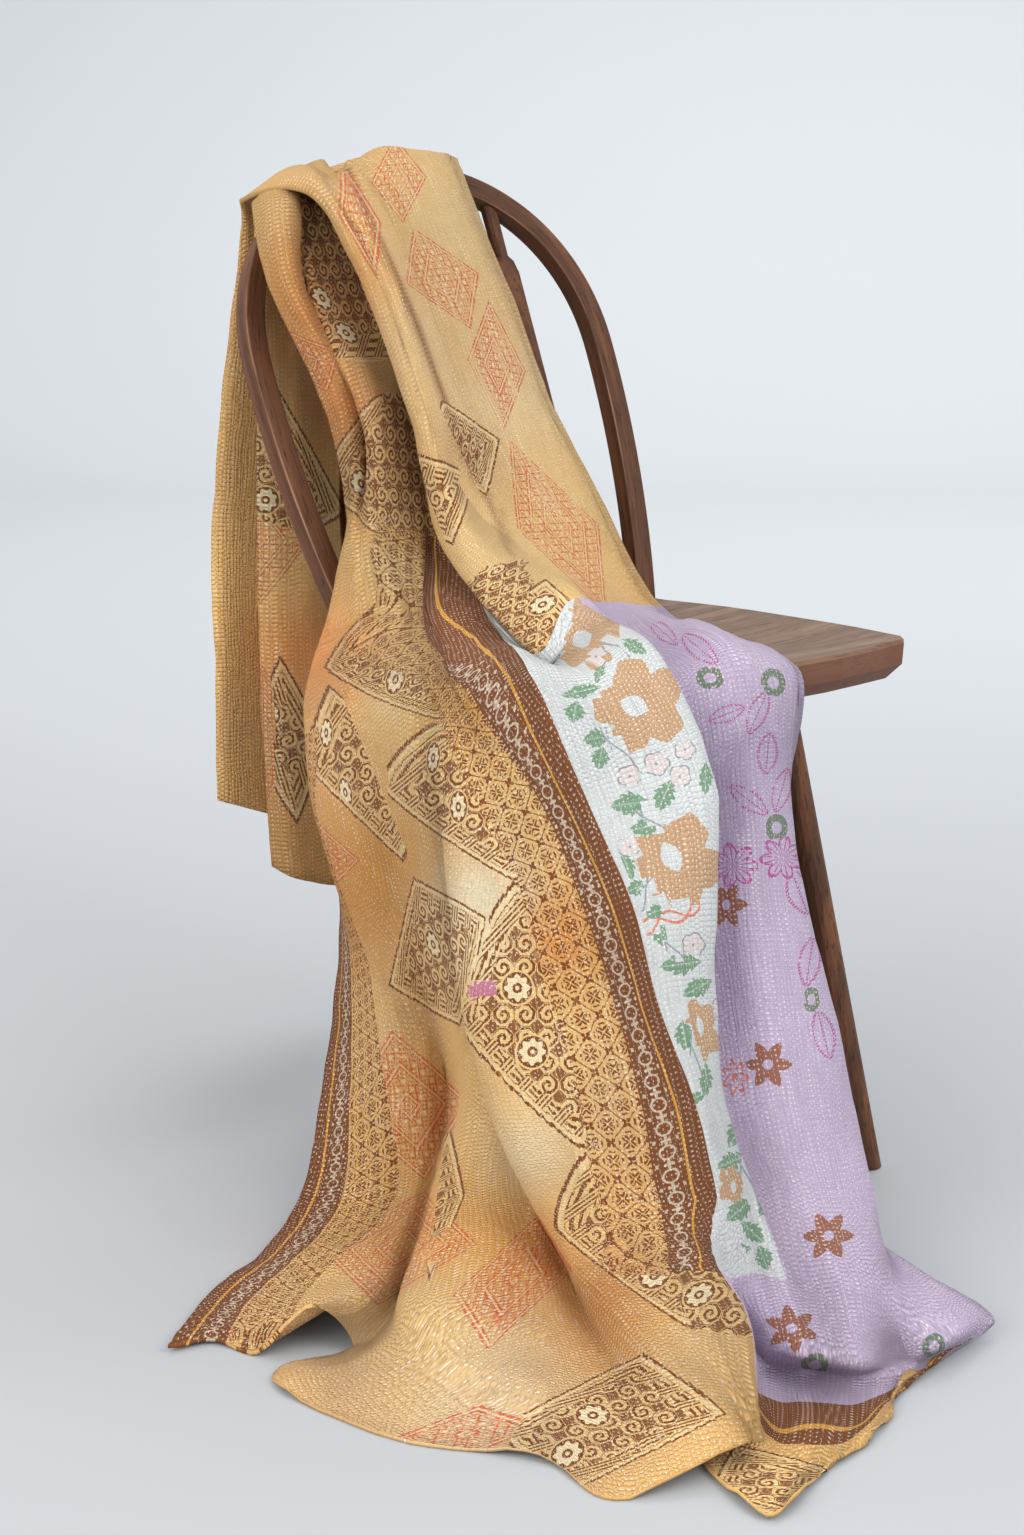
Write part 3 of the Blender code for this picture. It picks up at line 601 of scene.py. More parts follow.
@dataclass(frozen=True)
class Crease:
    """A soft trough or ridge along a line seen in px, and how much painted shade darkens the colour along its
    line.
    """

    name: str
    columns: tuple[float, float]
    rows: tuple[float, float]
    half_width_px: float
    height_mm: float
    painted_shade: float
    line: tuple[tuple[float, float], ...]

    def gap(self, seen: np.ndarray) -> np.ndarray:
        """How far each place is seen from the line, in px."""
        line = np.array(self.line, float)
        best = np.full(seen.shape[:2], 1e9)
        for start, end in zip(line, line[1:]):
            way = end - start
            share = np.clip(((seen[..., :2] - start) @ way) / (way @ way), 0.0, 1.0)
            best = np.minimum(best, np.linalg.norm(seen[..., :2] - start - share[..., None] * way, axis=-1))
        return best


# each crease: columns, rows, half width px, height mm, how much painted shade darkens its line, and the line
# in px
CREASES = (
    Crease("main_valley", (13.8, 17), (5.3, 9.6), 11, -16.0, 0.9, (
        (327, 155), (346, 167), (365, 213), (390, 266), (414, 322), (438, 387), (453, 426), (470, 465),
        (485, 493),
    )),
    Crease("panel_lip", (14.6, 17), (5.3, 9.6), 6, 5.0, 0.0, (
        (342, 157), (360, 168), (379, 213), (404, 266), (428, 322), (452, 387), (467, 426), (484, 465),
        (498, 493),
    )),
    Crease("valley_foot", (14.2, 17), (8.5, 10), 10, -5.0, 0.6, ((485, 493), (505, 545), (519, 585))),
    Crease("roll_ridge", (13.2, 16), (4.5, 9.4), 9, 5.0, 0.0, (
        (322, 168), (345, 205), (370, 258), (394, 315), (418, 380), (434, 425), (452, 465), (466, 495),
    )),
    Crease("lilac_drag", (15, 19), (11, 14), 9, -5.0, 0.0, ((745, 722), (725, 742), (705, 764))),
    Crease("lilac_valley", (15, 19), (10, 13), 9, -5.0, 0.0, ((690, 625), (715, 640), (745, 662))),
    Crease("lilac_long", (14.5, 18), (13, 17), 14, -4.0, 0.0, (
        (735, 800), (742, 900), (765, 1020), (790, 1140),
    )),
    Crease("face_drag", (8, 11.5), (12, 15), 12, -5.0, 0.2, ((452, 740), (470, 800), (500, 870), (515, 930))),
    Crease("bulge_drag", (1, 8), (10, 14), 12, -5.0, 0.2, ((352, 640), (345, 700), (358, 770), (385, 840))),
    Crease("panel_end", (14.5, 19), (8.5, 10.5), 9, -4.0, 0.3, ((500, 510), (512, 550), (520, 590))),
)


# ---------------------------------------------------------------- prints of the quilt
class Print(Enum):
    """A printed or stitched figure that a place of the quilt can carry."""

    BATIK = 1
    LOBE = 2
    HALF = 3
    TRELLIS = 4
    BLOSSOM = 5
    LEAF = 6
    POSY = 7
    STAR = 8
    RING = 9
    STITCHED_LEAF = 10
    STITCHED_FLOWER = 11
    ORANGE_FLOWER = 12
    SPRAY = 13
    DARN = 14
    STEM = 15
    FIELD = 16


# diamonds set where the photograph shows them, each (tip px, top px, bottom px); a lobe is open on the side
# away from its tip, toward the border, a half ends there in a fold, and a field fills the whole width
DIAMONDS = {
    Print.LOBE: (
        (326, 668, 404, 582, 441, 720), (380, 786, 441, 721, 515, 881), (456, 1020, 515, 881, 582, 1148),
        (556, 1228, 590, 1150, 690, 1330), (326, 480, 377, 395, 406, 556),
    ),
    Print.FIELD: ((300, 270, 346, 168, 346, 370),),
    Print.HALF: (
        (303, 762, 330, 684, 405, 862), (499, 440, 440, 400, 486, 497), (473, 476, 420, 453, 455, 545),
        (466, 1196, 452, 1125, 430, 1283),
    ),
    Print.BATIK: (
        (390, 985, 415, 877, 462, 1026), (187, 435, 277, 388, 255, 560), (250, 738, 280, 655, 296, 825),
        (494, 618, 545, 580, 548, 668), (492, 1432, 645, 1354, 575, 1492), (706, 1500, 735, 1446, 800, 1524),
    ),
    Print.TRELLIS: (
        (453, 1297, 540, 1214, 487, 1352), (345, 1110, 393, 1030, 424, 1182),
        (322, 1252, 424, 1192, 376, 1306),
        (388, 1442, 480, 1406, 452, 1464), (404, 284, 412, 228, 470, 330), (466, 360, 488, 300, 503, 432),
        (516, 530, 508, 440, 606, 616), (370, 184, 394, 138, 402, 224), (338, 214, 340, 158, 378, 280),
        (216, 538, 262, 476, 262, 604), (216, 735, 262, 663, 264, 806), (288, 858, 322, 824, 328, 894),
        (214, 1336, 262, 1318, 278, 1352), (284, 370, 292, 330, 330, 392),
    ),
}

# the batik's pale rosettes: (across px, down px)
ROSETTES = (
    (321, 299), (345, 334), (360, 484), (397, 680), (435, 758), (460, 807), (328, 733), (347, 792),
    (435, 944), (518, 988), (533, 1052), (655, 1277), (593, 1417), (568, 1455), (543, 606), (318, 1352),
    (266, 500), (300, 640), (372, 640), (700, 1296), (272, 712),
)

# smaller figures: (across px, down px, turn in degrees, half across px, half down px)
FIGURES = {
    Print.BLOSSOM: (
        (586, 636, 62, 46, 36), (640, 706, 108, 52, 50), (676, 862, 152, 50, 56), (700, 1030, 170, 18, 36),
        (731, 1184, 0, 16, 24),
    ),
    Print.LEAF: (
        (576, 712, 10, 14, 12), (597, 738, 80, 13, 15), (601, 758, 10, 12, 13), (582, 692, 78, 9, 22),
        (634, 648, -60, 9, 16), (600, 674, 20, 7, 14), (630, 804, 82, 16, 21), (664, 796, 24, 14, 19),
        (647, 827, 76, 13, 21), (627, 866, -24, 11, 17), (637, 888, 66, 11, 13), (655, 912, 70, 10, 15),
        (661, 934, -10, 12, 14), (680, 964, 82, 15, 22), (696, 988, 60, 13, 18), (704, 779, 0, 9, 18),
        (684, 1036, -10, 12, 18), (704, 1080, 0, 9, 20), (736, 1132, 30, 14, 20), (752, 1150, -60, 12, 18),
        (730, 1162, 66, 13, 18), (738, 1210, 50, 14, 19), (752, 1232, -50, 12, 18), (733, 1252, 76, 13, 19),
        (764, 1202, 20, 10, 18), (764, 1258, -20, 12, 15), (692, 1100, 60, 9, 16),
    ),
    Print.POSY: (
        (597, 658, 0, 15, 13), (630, 776, 0, 14, 13), (656, 764, 0, 15, 14), (679, 777, 20, 13, 14),
        (684, 750, 0, 12, 12), (630, 847, 0, 13, 13), (692, 945, 0, 13, 14), (757, 1187, 0, 12, 14),
        (718, 1008, 0, 9, 13),
    ),
    Print.STEM: (
        (618, 748, -34, 10, 34), (652, 822, -40, 12, 34), (646, 894, 24, 10, 34), (672, 948, -30, 10, 36),
        (694, 1056, -8, 8, 46), (745, 1176, -14, 10, 46), (610, 646, -50, 12, 26),
    ),
    Print.STAR: (
        (727, 905, 0, 22, 26), (768, 1065, 0, 24, 26), (828, 1237, 0, 26, 26), (792, 1330, 20, 28, 24),
    ),
    Print.RING: (
        (710, 679, 0, 15, 12), (772, 683, -20, 13, 15), (775, 828, 0, 12, 15), (810, 1000, 0, 9, 14),
        (815, 1363, 0, 15, 10), (933, 1346, 20, 11, 13),
    ),
    Print.STITCHED_LEAF: (
        (757, 712, 24, 10, 24), (726, 714, 70, 9, 20), (766, 753, 6, 11, 22), (748, 800, -50, 10, 24),
        (780, 790, 16, 10, 24), (798, 893, -20, 14, 24), (808, 962, 8, 12, 26), (822, 1035, -14, 12, 26),
        (700, 650, -50, 11, 24), (664, 634, -50, 8, 20),
    ),
    Print.STITCHED_FLOWER: ((734, 866, 0, 26, 24), (781, 858, 20, 24, 24)),
    Print.ORANGE_FLOWER: ((735, 1078, 0, 15, 19),),
    Print.SPRAY: ((664, 920, -24, 44, 20),),
    Print.DARN: ((486, 990, -10, 24, 13),),
}

# figures where the photograph doesn't see the cloth: (row, column, half across mm, half along mm)
UNSEEN_FIGURES = {
    Print.BATIK: ((1.2, 15.4, 62, 97), (3.2, 16.0, 62, 97), (0.8, 18.2, 50, 97), (14.5, 18.8, 40, 60)),
    Print.TRELLIS: ((1.2, 16.6, 62, 97), (3.2, 17.2, 62, 97)),
}

# soft patches of fading and dye, and of painted light and shade: the pale ones near (245, 600) and (308, 650)
# paint light on the back folds, and the orange ones near (322, 300) and (372, 470) paint the warm shade of
# the recess: (across px, down px, reach px, colour, share)
FADES_AND_PAINTED_LIGHT = (
    (345, 410, 44, "#D9833C", 0.9), (322, 300, 60, "#E28E42", 0.95), (372, 470, 50, "#DC9A50", 0.7),
    (300, 260, 26, "#DC9A52", 0.7), (350, 900, 70, "#D38E3C", 0.8), (345, 700, 60, "#CF9A50", 0.4),
    (480, 900, 52, "#E6DAB8", 1.0), (490, 960, 34, "#EEDDB6", 0.8), (390, 570, 26, "#F0D7A0", 0.8),
    (390, 700, 34, "#E9CE96", 0.7), (380, 640, 50, "#EBC987", 0.5), (510, 1250, 80, "#E0A04A", 0.8),
    (530, 1150, 46, "#EBD9AE", 0.9), (420, 1250, 60, "#D79E4E", 0.5), (470, 1390, 90, "#D3BE98", 0.85),
    (600, 1330, 60, "#DB9444", 0.6), (470, 700, 50, "#C98F3E", 0.6), (560, 940, 40, "#DA8638", 0.7),
    (500, 800, 40, "#EBC683", 0.5), (245, 600, 90, "#FFD084", 0.95), (308, 650, 60, "#FFA65A", 0.95),
    (300, 820, 60, "#D9964C", 0.6), (450, 220, 80, "#DDC18C", 0.9), (510, 400, 80, "#E4CC9C", 0.8),
    (560, 560, 60, "#EACB8A", 0.5), (470, 560, 60, "#EFD49A", 0.5), (690, 1380, 60, "#DDB57C", 0.7),
    (780, 1480, 50, "#E3BA70", 0.5), (420, 340, 60, "#D8BA88", 0.7), (490, 1385, 70, "#C9AE88", 0.75),
    (380, 860, 60, "#C98C3C", 0.6), (420, 540, 30, "#C49550", 0.6), (365, 580, 26, "#D2A45C", 0.4),
    (560, 500, 50, "#EAC98C", 0.5), (420, 1340, 60, "#E6BE76", 0.5), (550, 1060, 60, "#EECB8C", 0.5),
    (350, 1400, 64, "#BC9870", 0.7), (610, 1290, 46, "#B8783C", 0.6), (350, 185, 44, "#CDA062", 0.6),
)


# The numbers that the quilt's mesh holds, by attribute: metres from the border's edge, along it, and the
# strip; the row, and metres in from the free edge and along it; a figure's own coordinates and its Print;
# mm across and along it, and its height; mm from the nearest rosette, and the figure's side; metres beside
# the nearest guide of the stitches and along it.
QUILT_NUMBERS = {
    "cloth": ("across", "along", "strip"), "place": ("row", "rim", "rim_along"),
    "mark": ("mark_x", "mark_y", "mark"), "spot": ("x", "y", "tall"), "rosette": ("rose_x", "rose_y", "side"),
    "thread": ("thread_x", "thread_y"),
}


@dataclass(frozen=True)
class PrintSizes:
    """How large the prints are in mm, and the rows where the sewn patches end."""

    cell_mm: float = 17.0
    key_mm: float = 4.4
    block_mm: float = 13.0
    keyed_mm: float = 17.5
    outline_mm: float = 2.2
    clear_mm: float = 5.8
    rosette_mm: float = 10.2
    lattice_mm: float = 27.0
    mesh_mm: float = 17.0
    bar_mm: float = 15.0
    chain_mm: float = 17.0
    link_mm: float = 4.6
    rim_band_mm: float = 38.0
    rim_print_mm: float = 40.0
    lane_mm: float = 3.6
    stitch_mm: float = 4.0
    join_row: float = 10.08
    foot_row: float = 18.0
    band_row: float = 20.45


# where the patches and bands lie: how far outside the border and in from the free edge, in mm, and how worn
PATCH_SUMS = """
outside = 0 - across * 1000 - (wander - 0.5) * 2.2
down = along * 1000 + (wander - 0.5) * 2.0
rim_down = rim_along * 1000 + (wander - 0.5) * 2.0
inward = rim * 1000
upper = (row < join_row) * (strip > 2.0)
white = (strip > 2.0) * (strip < 3.0) * (row > join_row) * (row < foot_row)
lilac = min((strip > 3.0) * (row > join_row) + (strip > 2.0) * (row > foot_row), 1.0) * (row < band_row)
foot = (strip > 2.0) * (row > band_row) * (row < 21.0)
hem_band = (strip > 0.0) * (strip < 2.0) * (row < 18.08) * (row > 8.9)
below = row > 12.2
free_band = (inward < rim_band_mm) * below
wear = min(max((blot - 0.27) * 6.0, 0.6), 1.0) * (0.86 + 0.3 * fleck)
faded = min(max((wander - 0.36) * 4.5, 0.20), 0.85) * (0.75 + 0.4 * fleck)
"""

# batik: an outline with a pale line inside it, keys along that, octagonal scrolls and pale rosettes
BATIK_SUMS = """
lobe = same(mark, LOBE, 0.4)
half = same(mark, HALF, 0.4)
field = same(mark, FIELD, 0.4)
turned = mark_x - max(mark_x, 0.0) * lobe
bulge = 1.04 + lobe * 0.16
margin = 1 - abs(turned) ** bulge * (1 - field) - abs(mark_y) ** bulge + (wander - 0.5) * 0.10 * (1 - field)
inside = (same(mark, BATIK, 0.4) + lobe + half + field) * (margin > 0.0) * (1 - half * (mark_x > 0.14))
edge = margin * tall + 70 * lobe * (mark_x > 0.06) + 70 * field * (mark_y < 0.0)
cell_y = fract(y / cell_mm + 0.5) - 0.5
flip = zigzag(floor(x / cell_mm + 0.5) + floor(y / cell_mm + 0.5), 1.0) * 2 - 1
cell_x = (fract(x / cell_mm + 0.5) - 0.5) * flip
reach = max(max(abs(cell_x), abs(cell_y)), (abs(cell_x) + abs(cell_y)) * 0.74)
scroll = (fract(reach * 3.3 + angle(cell_y, cell_x) / 6.2832) < 0.45) * (reach < 0.46)
corner = (reach > 0.485) * 0.9
block = zigzag(floor((x + y) / block_mm), 1.0)
key = (fract(edge / key_mm) < 0.48) * block + (fract((x + y) / key_mm) < 0.48) * (1 - block)
by_edge = edge < keyed_mm
rose = root(rose_x * rose_x + rose_y * rose_y) * 0.78
petals = rose - 0.9 * cos(angle(rose_y, rose_x) * 8)
scrolls = max(scroll, corner) * (1 - by_edge) + key * by_edge
figure = scrolls * (edge > clear_mm) * (rose > rosette_mm)
rings = (rose > 1.3) * (rose < 3.0) + (petals > 7.0) * (rose < 9.0)
brown = inside * max(max(edge < outline_mm, figure), rings * (edge > clear_mm))
pale = inside * max((petals < 7.0) * (edge > clear_mm) * (1 - rings), (edge > 2.8) * (edge < 4.2) * 0.4)
"""

# the lattice beside each border: flowers of four petals, with sprigs between them, in a net of thin lines
LATTICE_SUMS = """
by_rim = (inward < 84.0) * below
by_border = (outside > 0.0) * (outside < 34 + wander * 20) * (1 - upper) * (row > 8.9) * (row < 18.2)
beside = max(by_border, (inward > rim_print_mm) * by_rim)
near = outside * (1 - by_rim) + (inward - rim_print_mm) * by_rim
run = down * (1 - by_rim) + rim_down * by_rim
net_x = (near + run) / lattice_mm
net_y = (near - run) / lattice_mm
fx = fract(net_x) - 0.5
fy = fract(net_y) - 0.5
far = root(fx * fx + fy * fy)
spoke = abs(cos(angle(fy, fx) * 2))
petal = (far < 0.11 + 0.22 * spoke) * (far > 0.05)
slits = (abs(fx) < 0.022) + (abs(fy) < 0.022)
leaves = (abs(far - 0.37) < 0.035) * (spoke < 0.62)
net = (max(abs(fx), abs(fy)) > 0.472) * (fleck > 0.42)
sx = fract(net_x + 0.5) - 0.5
sy = fract(net_y + 0.5) - 0.5
sprig_far = root(sx * sx + sy * sy)
sprig = (sprig_far < 0.07 + 0.14 * abs(cos(angle(sy, sx) * 2))) * (sprig_far > 0.035)
ink = beside * max(max(petal * (1 - slits), net), max(sprig, leaves))
"""

# red trellis: doubled lines, and between them a net of small diamonds with pale dots
TRELLIS_SUMS = """
red_edge = (1 - abs(mark_x) - abs(mark_y)) * tall
red = same(mark, TRELLIS, 0.4) * (red_edge > 0.0)
gx = fract((mark_x + mark_y) * side / mesh_mm) - 0.5
gy = fract((mark_x - mark_y) * side / mesh_mm) - 0.5
mesh = abs(abs(gx) + abs(gy) - 0.5)
dot = root(gx * gx + gy * gy)
bar = fract(red_edge / bar_mm)
bars = (bar < 0.12) + (bar > 0.21) * (bar < 0.31)
bands = (bar > 0.36) * ((mesh < 0.11) + (mesh > 0.34) * (dot > 0.15))
reds = red * min(bars + bands, 1.0)
dots = red * max((dot < 0.15) * (bar > 0.36), (bar > 0.13) * (bar < 0.21) * 0.5) * 0.85
"""

# the chain: pale rings with knots between them on a brown band, with a yellow line beside it
CHAIN_SUMS = """
beaded = hem_band * (strip < 1.0) * (row > 11.6)
w = (strip - 0.5) * 20 * beaded + (inward - 26) * free_band
chain_run = down * (1 - free_band) + rim_down * free_band
step = (fract(chain_run / chain_mm) - 0.5) * chain_mm
link = abs(root(w * w + step * step) - link_mm) < 0.7
knot_step = (fract(chain_run / chain_mm + 0.5) - 0.5) * chain_mm
knot = root(w * w + knot_step * knot_step)
knots = knot < 1.0 + 2.3 * abs(cos(angle(knot_step, w) * 2))
sides = (abs(abs(w) - 7.2) < 0.9) * (abs(knot_step) < 1.4)
beads = max(max(link, knots), sides) * min(beaded + free_band * (inward > 15.0), 1.0)
second = upper * (strip < 2.35) * (row > 9.3)
line = hem_band * (strip > 1.0) * (strip < 1.1) + free_band * (inward > 12.0) * (inward < 14.2)
band = min(hem_band + free_band + foot, 1.0)
foot_line = foot * (row > 20.78) * (row < 20.84)
"""

# the white strip: beige blossoms, cut green leaves on grey stems and outlined posies
GARDEN_SUMS = """
off_middle = root(mark_x * mark_x + mark_y * mark_y)
turn = angle(mark_y, mark_x)
blossom_rim = 0.64 + 0.30 * abs(cos(turn * 2.5)) + 0.03 * cos(turn * 13)
slit = (abs(mark_x - 0.05) * 4.6 + (mark_y - 0.12) * (mark_y - 0.12) * 10) < 0.9
blossom = same(mark, BLOSSOM, 0.4) * (off_middle < blossom_rim) * white * (1 - slit)
leaf_wide = (0.9 - abs(mark_y) ** 1.5) * (0.62 + 0.36 * fract(mark_y * 2.6))
leaf = same(mark, LEAF, 0.4) * (abs(mark_x) < leaf_wide)
vein = (abs(mark_x) < 0.05) * leaf
posy = same(mark, POSY, 0.4)
posy_rim = 0.72 + 0.16 * abs(cos(turn * 2.5))
posy_line = posy * max(abs(off_middle - posy_rim) < 0.065, off_middle < 0.11)
posy_fill = posy * (off_middle < posy_rim) * white
side_stem = (abs(mark_x + 0.6 + mark_y) < 0.09) * (mark_y < 0.0)
stems = max(abs(mark_x - 0.45 * sin(mark_y * 3)) < 0.09, side_stem) * (abs(mark_y) < 0.98)
seeds = (fract(mark_x * 9) < 0.3) * (fract(mark_y * 9) < 0.3)
seeded = blossom * seeds * 0.3
green = leaf * white * (0.7 + 0.5 * fleck)
green_seeds = green * max(seeds, vein) * 0.5
grey = max(posy_line, same(mark, STEM, 0.4) * stems) * white * 0.75
whitened = min(max((blot - 0.55) * 4, 0.0), 1.0) * 0.3 * white
"""

# the lilac cloth: appliqué stars and rings, and leaves and flowers drawn in magenta stitches
LILAC_SUMS = """
point = abs(fract(turn / 1.0472) - 0.5) * 2
star = same(mark, STAR, 0.4) * (off_middle < 0.48 + 0.5 * point) * (off_middle > 0.2) * lilac * 0.9
ring = same(mark, RING, 0.4) * (off_middle < 0.92) * (off_middle > 0.42) * lilac * 0.9
ring_seeds = ring * seeds * 0.6
dash = fract((mark_y * 26 + mark_x * 8) / 3.4) < 0.68
sewn_rim = abs(abs(mark_x) - 0.85 * (1 - mark_y * mark_y)) < 0.12
sewn = same(mark, STITCHED_LEAF, 0.4) * max(sewn_rim, abs(mark_x) < 0.07) * dash * (abs(mark_y) < 0.97)
bloom_rim = 0.5 + 0.4 * abs(cos(turn * 3.5))
bloom_rays = (abs(fract(turn * 2.6) - 0.5) < 0.12) * (off_middle < bloom_rim)
bloom = same(mark, STITCHED_FLOWER, 0.4) * max(abs(off_middle - bloom_rim) < 0.07, bloom_rays)
magenta = min(sewn + bloom, 1.0) * lilac * 0.85
petal_line = max(abs(off_middle - (0.7 + 0.2 * cos(turn * 7))) < 0.1, off_middle < 0.22)
sprays = max(abs(mark_y - 0.4 * sin(mark_x * 5)) < 0.08, abs(mark_y + 0.35 * sin(mark_x * 6 + 1)) < 0.07)
spray = same(mark, SPRAY, 0.4) * sprays * (abs(mark_x) < 0.95)
orange = max(same(mark, ORANGE_FLOWER, 0.4) * petal_line * lilac, spray * white) * 0.85
darned = same(mark, DARN, 0.4) * (off_middle < 0.55 + 0.4 * fract(turn * 2.1))
pinkish = lilac * min(max((blot - 0.5) * 5, 0.0), 1.0) * 0.35
"""

# the quilting: rows of white running stitch, and the cloth puffed in ripples between them
QUILTING_SUMS = """
lane = thread_x * 1000 / lane_mm + (wander - 0.5) * 1.6
which = floor(lane)
jump = 0.5 * zigzag(which, 1.0) * (wander > 0.5) + fract(sin(which * 12.99) * 43.76) * 0.24
beat = thread_y * 1000 / stitch_mm + jump
stitch = (abs(fract(lane) - 0.5) < 0.13) * (fract(beat) < 0.36)
puff = 0.5 - 0.5 * cos((fract(lane) - 0.5) * 6.2832)
ripple = 0.5 - 0.5 * cos((fract(beat) - 0.21 + (blot - 0.5) * 0.9) * 6.2832)
seams = min(min(abs(strip) * 9, abs(strip - 2) * 9), min(abs(strip - 3) * 9, 1.0))
level = (ripple * 0.9 + puff * 0.4) * (0.5 + blot) + fleck * 0.25 + blot * 0.8 + seams * 0.6
hollow = (1 - ripple) * (1 - puff * 0.5)
"""

# how much of each ink shows on the ochre cloth and its bands; tone is painted shade in the pucker hollows
# between the stitches, partly their dirt
SHARE_SUMS = """
ochre_only = (1 - white) * (1 - lilac) * (1 - band) * (1 - second)
ground = ochre_only * (1 - beside)
under = ground * inside * 0.35
brown = ochre_only * wear * (brown * (1 - beside) + ink)
pale = ground * pale * 0.9
reds = ground * faded * reds * (1 - inside)
dots = ground * dots * 0.7
beads = max(beads, second * (fleck > 0.5)) * (0.6 + 0.6 * blot)
tone = hollow * 0.22 * (1 - white) * (1 - lilac)
darn = darned * 0.7 * ochre_only
seen = stitch * (0.20 + 0.6 * fleck)
"""


@dataclass(frozen=True)
class KanthaCotton:
    """Layers of old sari cotton held by rows of white running stitch.

    Printed muslin, washed soft: a dull even surface with no gloss, puckered into grains between the stitches.
    """

    ochre: str = "#E0B372"
    cream: str = "#F6E6BC"
    butter: str = "#F5DC9C"
    brown_ink: str = "#7C4219"
    band_brown: str = "#824F2E"
    chain_cream: str = "#DCCBB4"
    yellow_line: str = "#E3A845"
    red_ink: str = "#D04A28"
    white: str = "#CED3D5"
    beige: str = "#C19C78"
    leaf_green: str = "#6F9676"
    outline_grey: str = "#7F8A92"
    posy_pink: str = "#D9CFCF"
    lilac: str = "#C2B3CF"
    lilac_pink: str = "#C9A2C0"
    star_brown: str = "#985C3A"
    ring_green: str = "#63795C"
    magenta: str = "#B8489A"
    coral: str = "#DB6C48"
    thread: str = "#FBF6EA"
    # the colour of the painted shade in the pucker hollows, and of their dirt
    hollow_shade_and_dirt: str = "#A5662C"
    noises: tuple[tuple[str, float, float], ...] = (
        ("wander", 26.0, 2.0), ("blot", 60.0, 4.0), ("fleck", 420.0, 3.0),
    )
    roughness: float = 0.88
    gloss: float = 0.10
    sheen: float = 0.04
    sheen_roughness: float = 0.6
    relief: float = 0.0015
    sizes: PrintSizes = PrintSizes()

    def inks(self) -> tuple[tuple[str, str], ...]:
        """The inks from the lowest to the uppermost: the sum that gives each one's share, and its colour."""
        return (
            ("under", self.butter), ("brown", self.brown_ink), ("pale", self.cream), ("reds", self.red_ink),
            ("dots", self.cream), ("second", self.band_brown), ("band", self.band_brown),
            ("beads", self.chain_cream), ("line", self.yellow_line), ("foot_line", self.yellow_line),
            ("white", self.white), ("whitened", self.posy_pink), ("blossom", self.beige),
            ("seeded", self.white),
            ("green", self.leaf_green), ("green_seeds", self.white), ("posy_fill", self.posy_pink),
            ("grey", self.outline_grey), ("lilac", self.lilac), ("pinkish", self.lilac_pink),
            ("star", self.star_brown), ("ring", self.ring_green), ("ring_seeds", self.white),
            ("magenta", self.magenta), ("orange", self.coral), ("darn", self.magenta),
            # tone: painted shade and dirt in the pucker hollows
            ("tone", self.hollow_shade_and_dirt), ("seen", self.thread),
        )

    def material(self) -> bpy.types.Material:
        """The quilt's one material: patchwork, prints, stitches and pucker, with painted shade in the
        pucker's hollows.
        """
        made, tree, surface = new_material("hand_quilted_sari_cotton")
        known = dict(asdict(self.sizes), **{figure.name: figure.value for figure in Print})
        for name, parts in QUILT_NUMBERS.items():
            held = add_node(tree, "ShaderNodeAttribute", attribute_name=name).outputs["Vector"]
            known |= zip(parts, add_node(tree, "ShaderNodeSeparateXYZ", (held,)).outputs)
        tint = add_node(tree, "ShaderNodeAttribute", attribute_name="tint").outputs["Color"]
        cloth = add_node(tree, "ShaderNodeAttribute", attribute_name="cloth").outputs["Vector"]
        for name, scale, detail in self.noises:
            noise_inputs = {"Vector": cloth, "Scale": scale, "Detail": detail}
            known[name] = add_node(tree, "ShaderNodeTexNoise", noise_inputs).outputs["Fac"]
        for sums in (PATCH_SUMS, BATIK_SUMS, LATTICE_SUMS, TRELLIS_SUMS, CHAIN_SUMS, GARDEN_SUMS, LILAC_SUMS,
                     QUILTING_SUMS, SHARE_SUMS):
            known = work_out(tree, sums, known)
        shade = lay_inks(tree, tint, [(known[share], colour) for share, colour in self.inks()])
        bump = {"Height": known["level"], "Distance": self.relief, "Strength": 1.0}
        dress(surface, Base_Color=shade, Roughness=self.roughness, Specular_IOR_Level=self.gloss,
              Sheen_Weight=self.sheen, Sheen_Roughness=self.sheen_roughness,
              Normal=add_node(tree, "ShaderNodeBump", bump).outputs["Normal"])
        return made


# ---------------------------------------------------------------- the quilt
def smooth_line(points: np.ndarray, steps: int) -> np.ndarray:
    """The places with steps - 1 new ones on a smooth curve between each two, along the first axis."""
    ends = np.concatenate([2 * points[:1] - points[1:2], points, 2 * points[-1:] - points[-2:-1]])
    share = (np.arange(steps) / steps).reshape(-1, *[1] * (points.ndim - 1))
    line = []
    for a, b, c, d in zip(ends, ends[1:], ends[2:], ends[3:]):
        line.append(0.5 * (2 * b + (c - a) * share + (2 * a - 5 * b + 4 * c - d) * share ** 2
                           + (3 * b - a - 3 * c + d) * share ** 3))
    return np.concatenate([*line, points[-1:]])


def corners_of(values: np.ndarray) -> np.ndarray:
    """The values at the four corners of each face of a grid."""
    return np.stack([values[:-1, :-1], values[:-1, 1:], values[1:, 1:], values[1:, :-1]], 2)


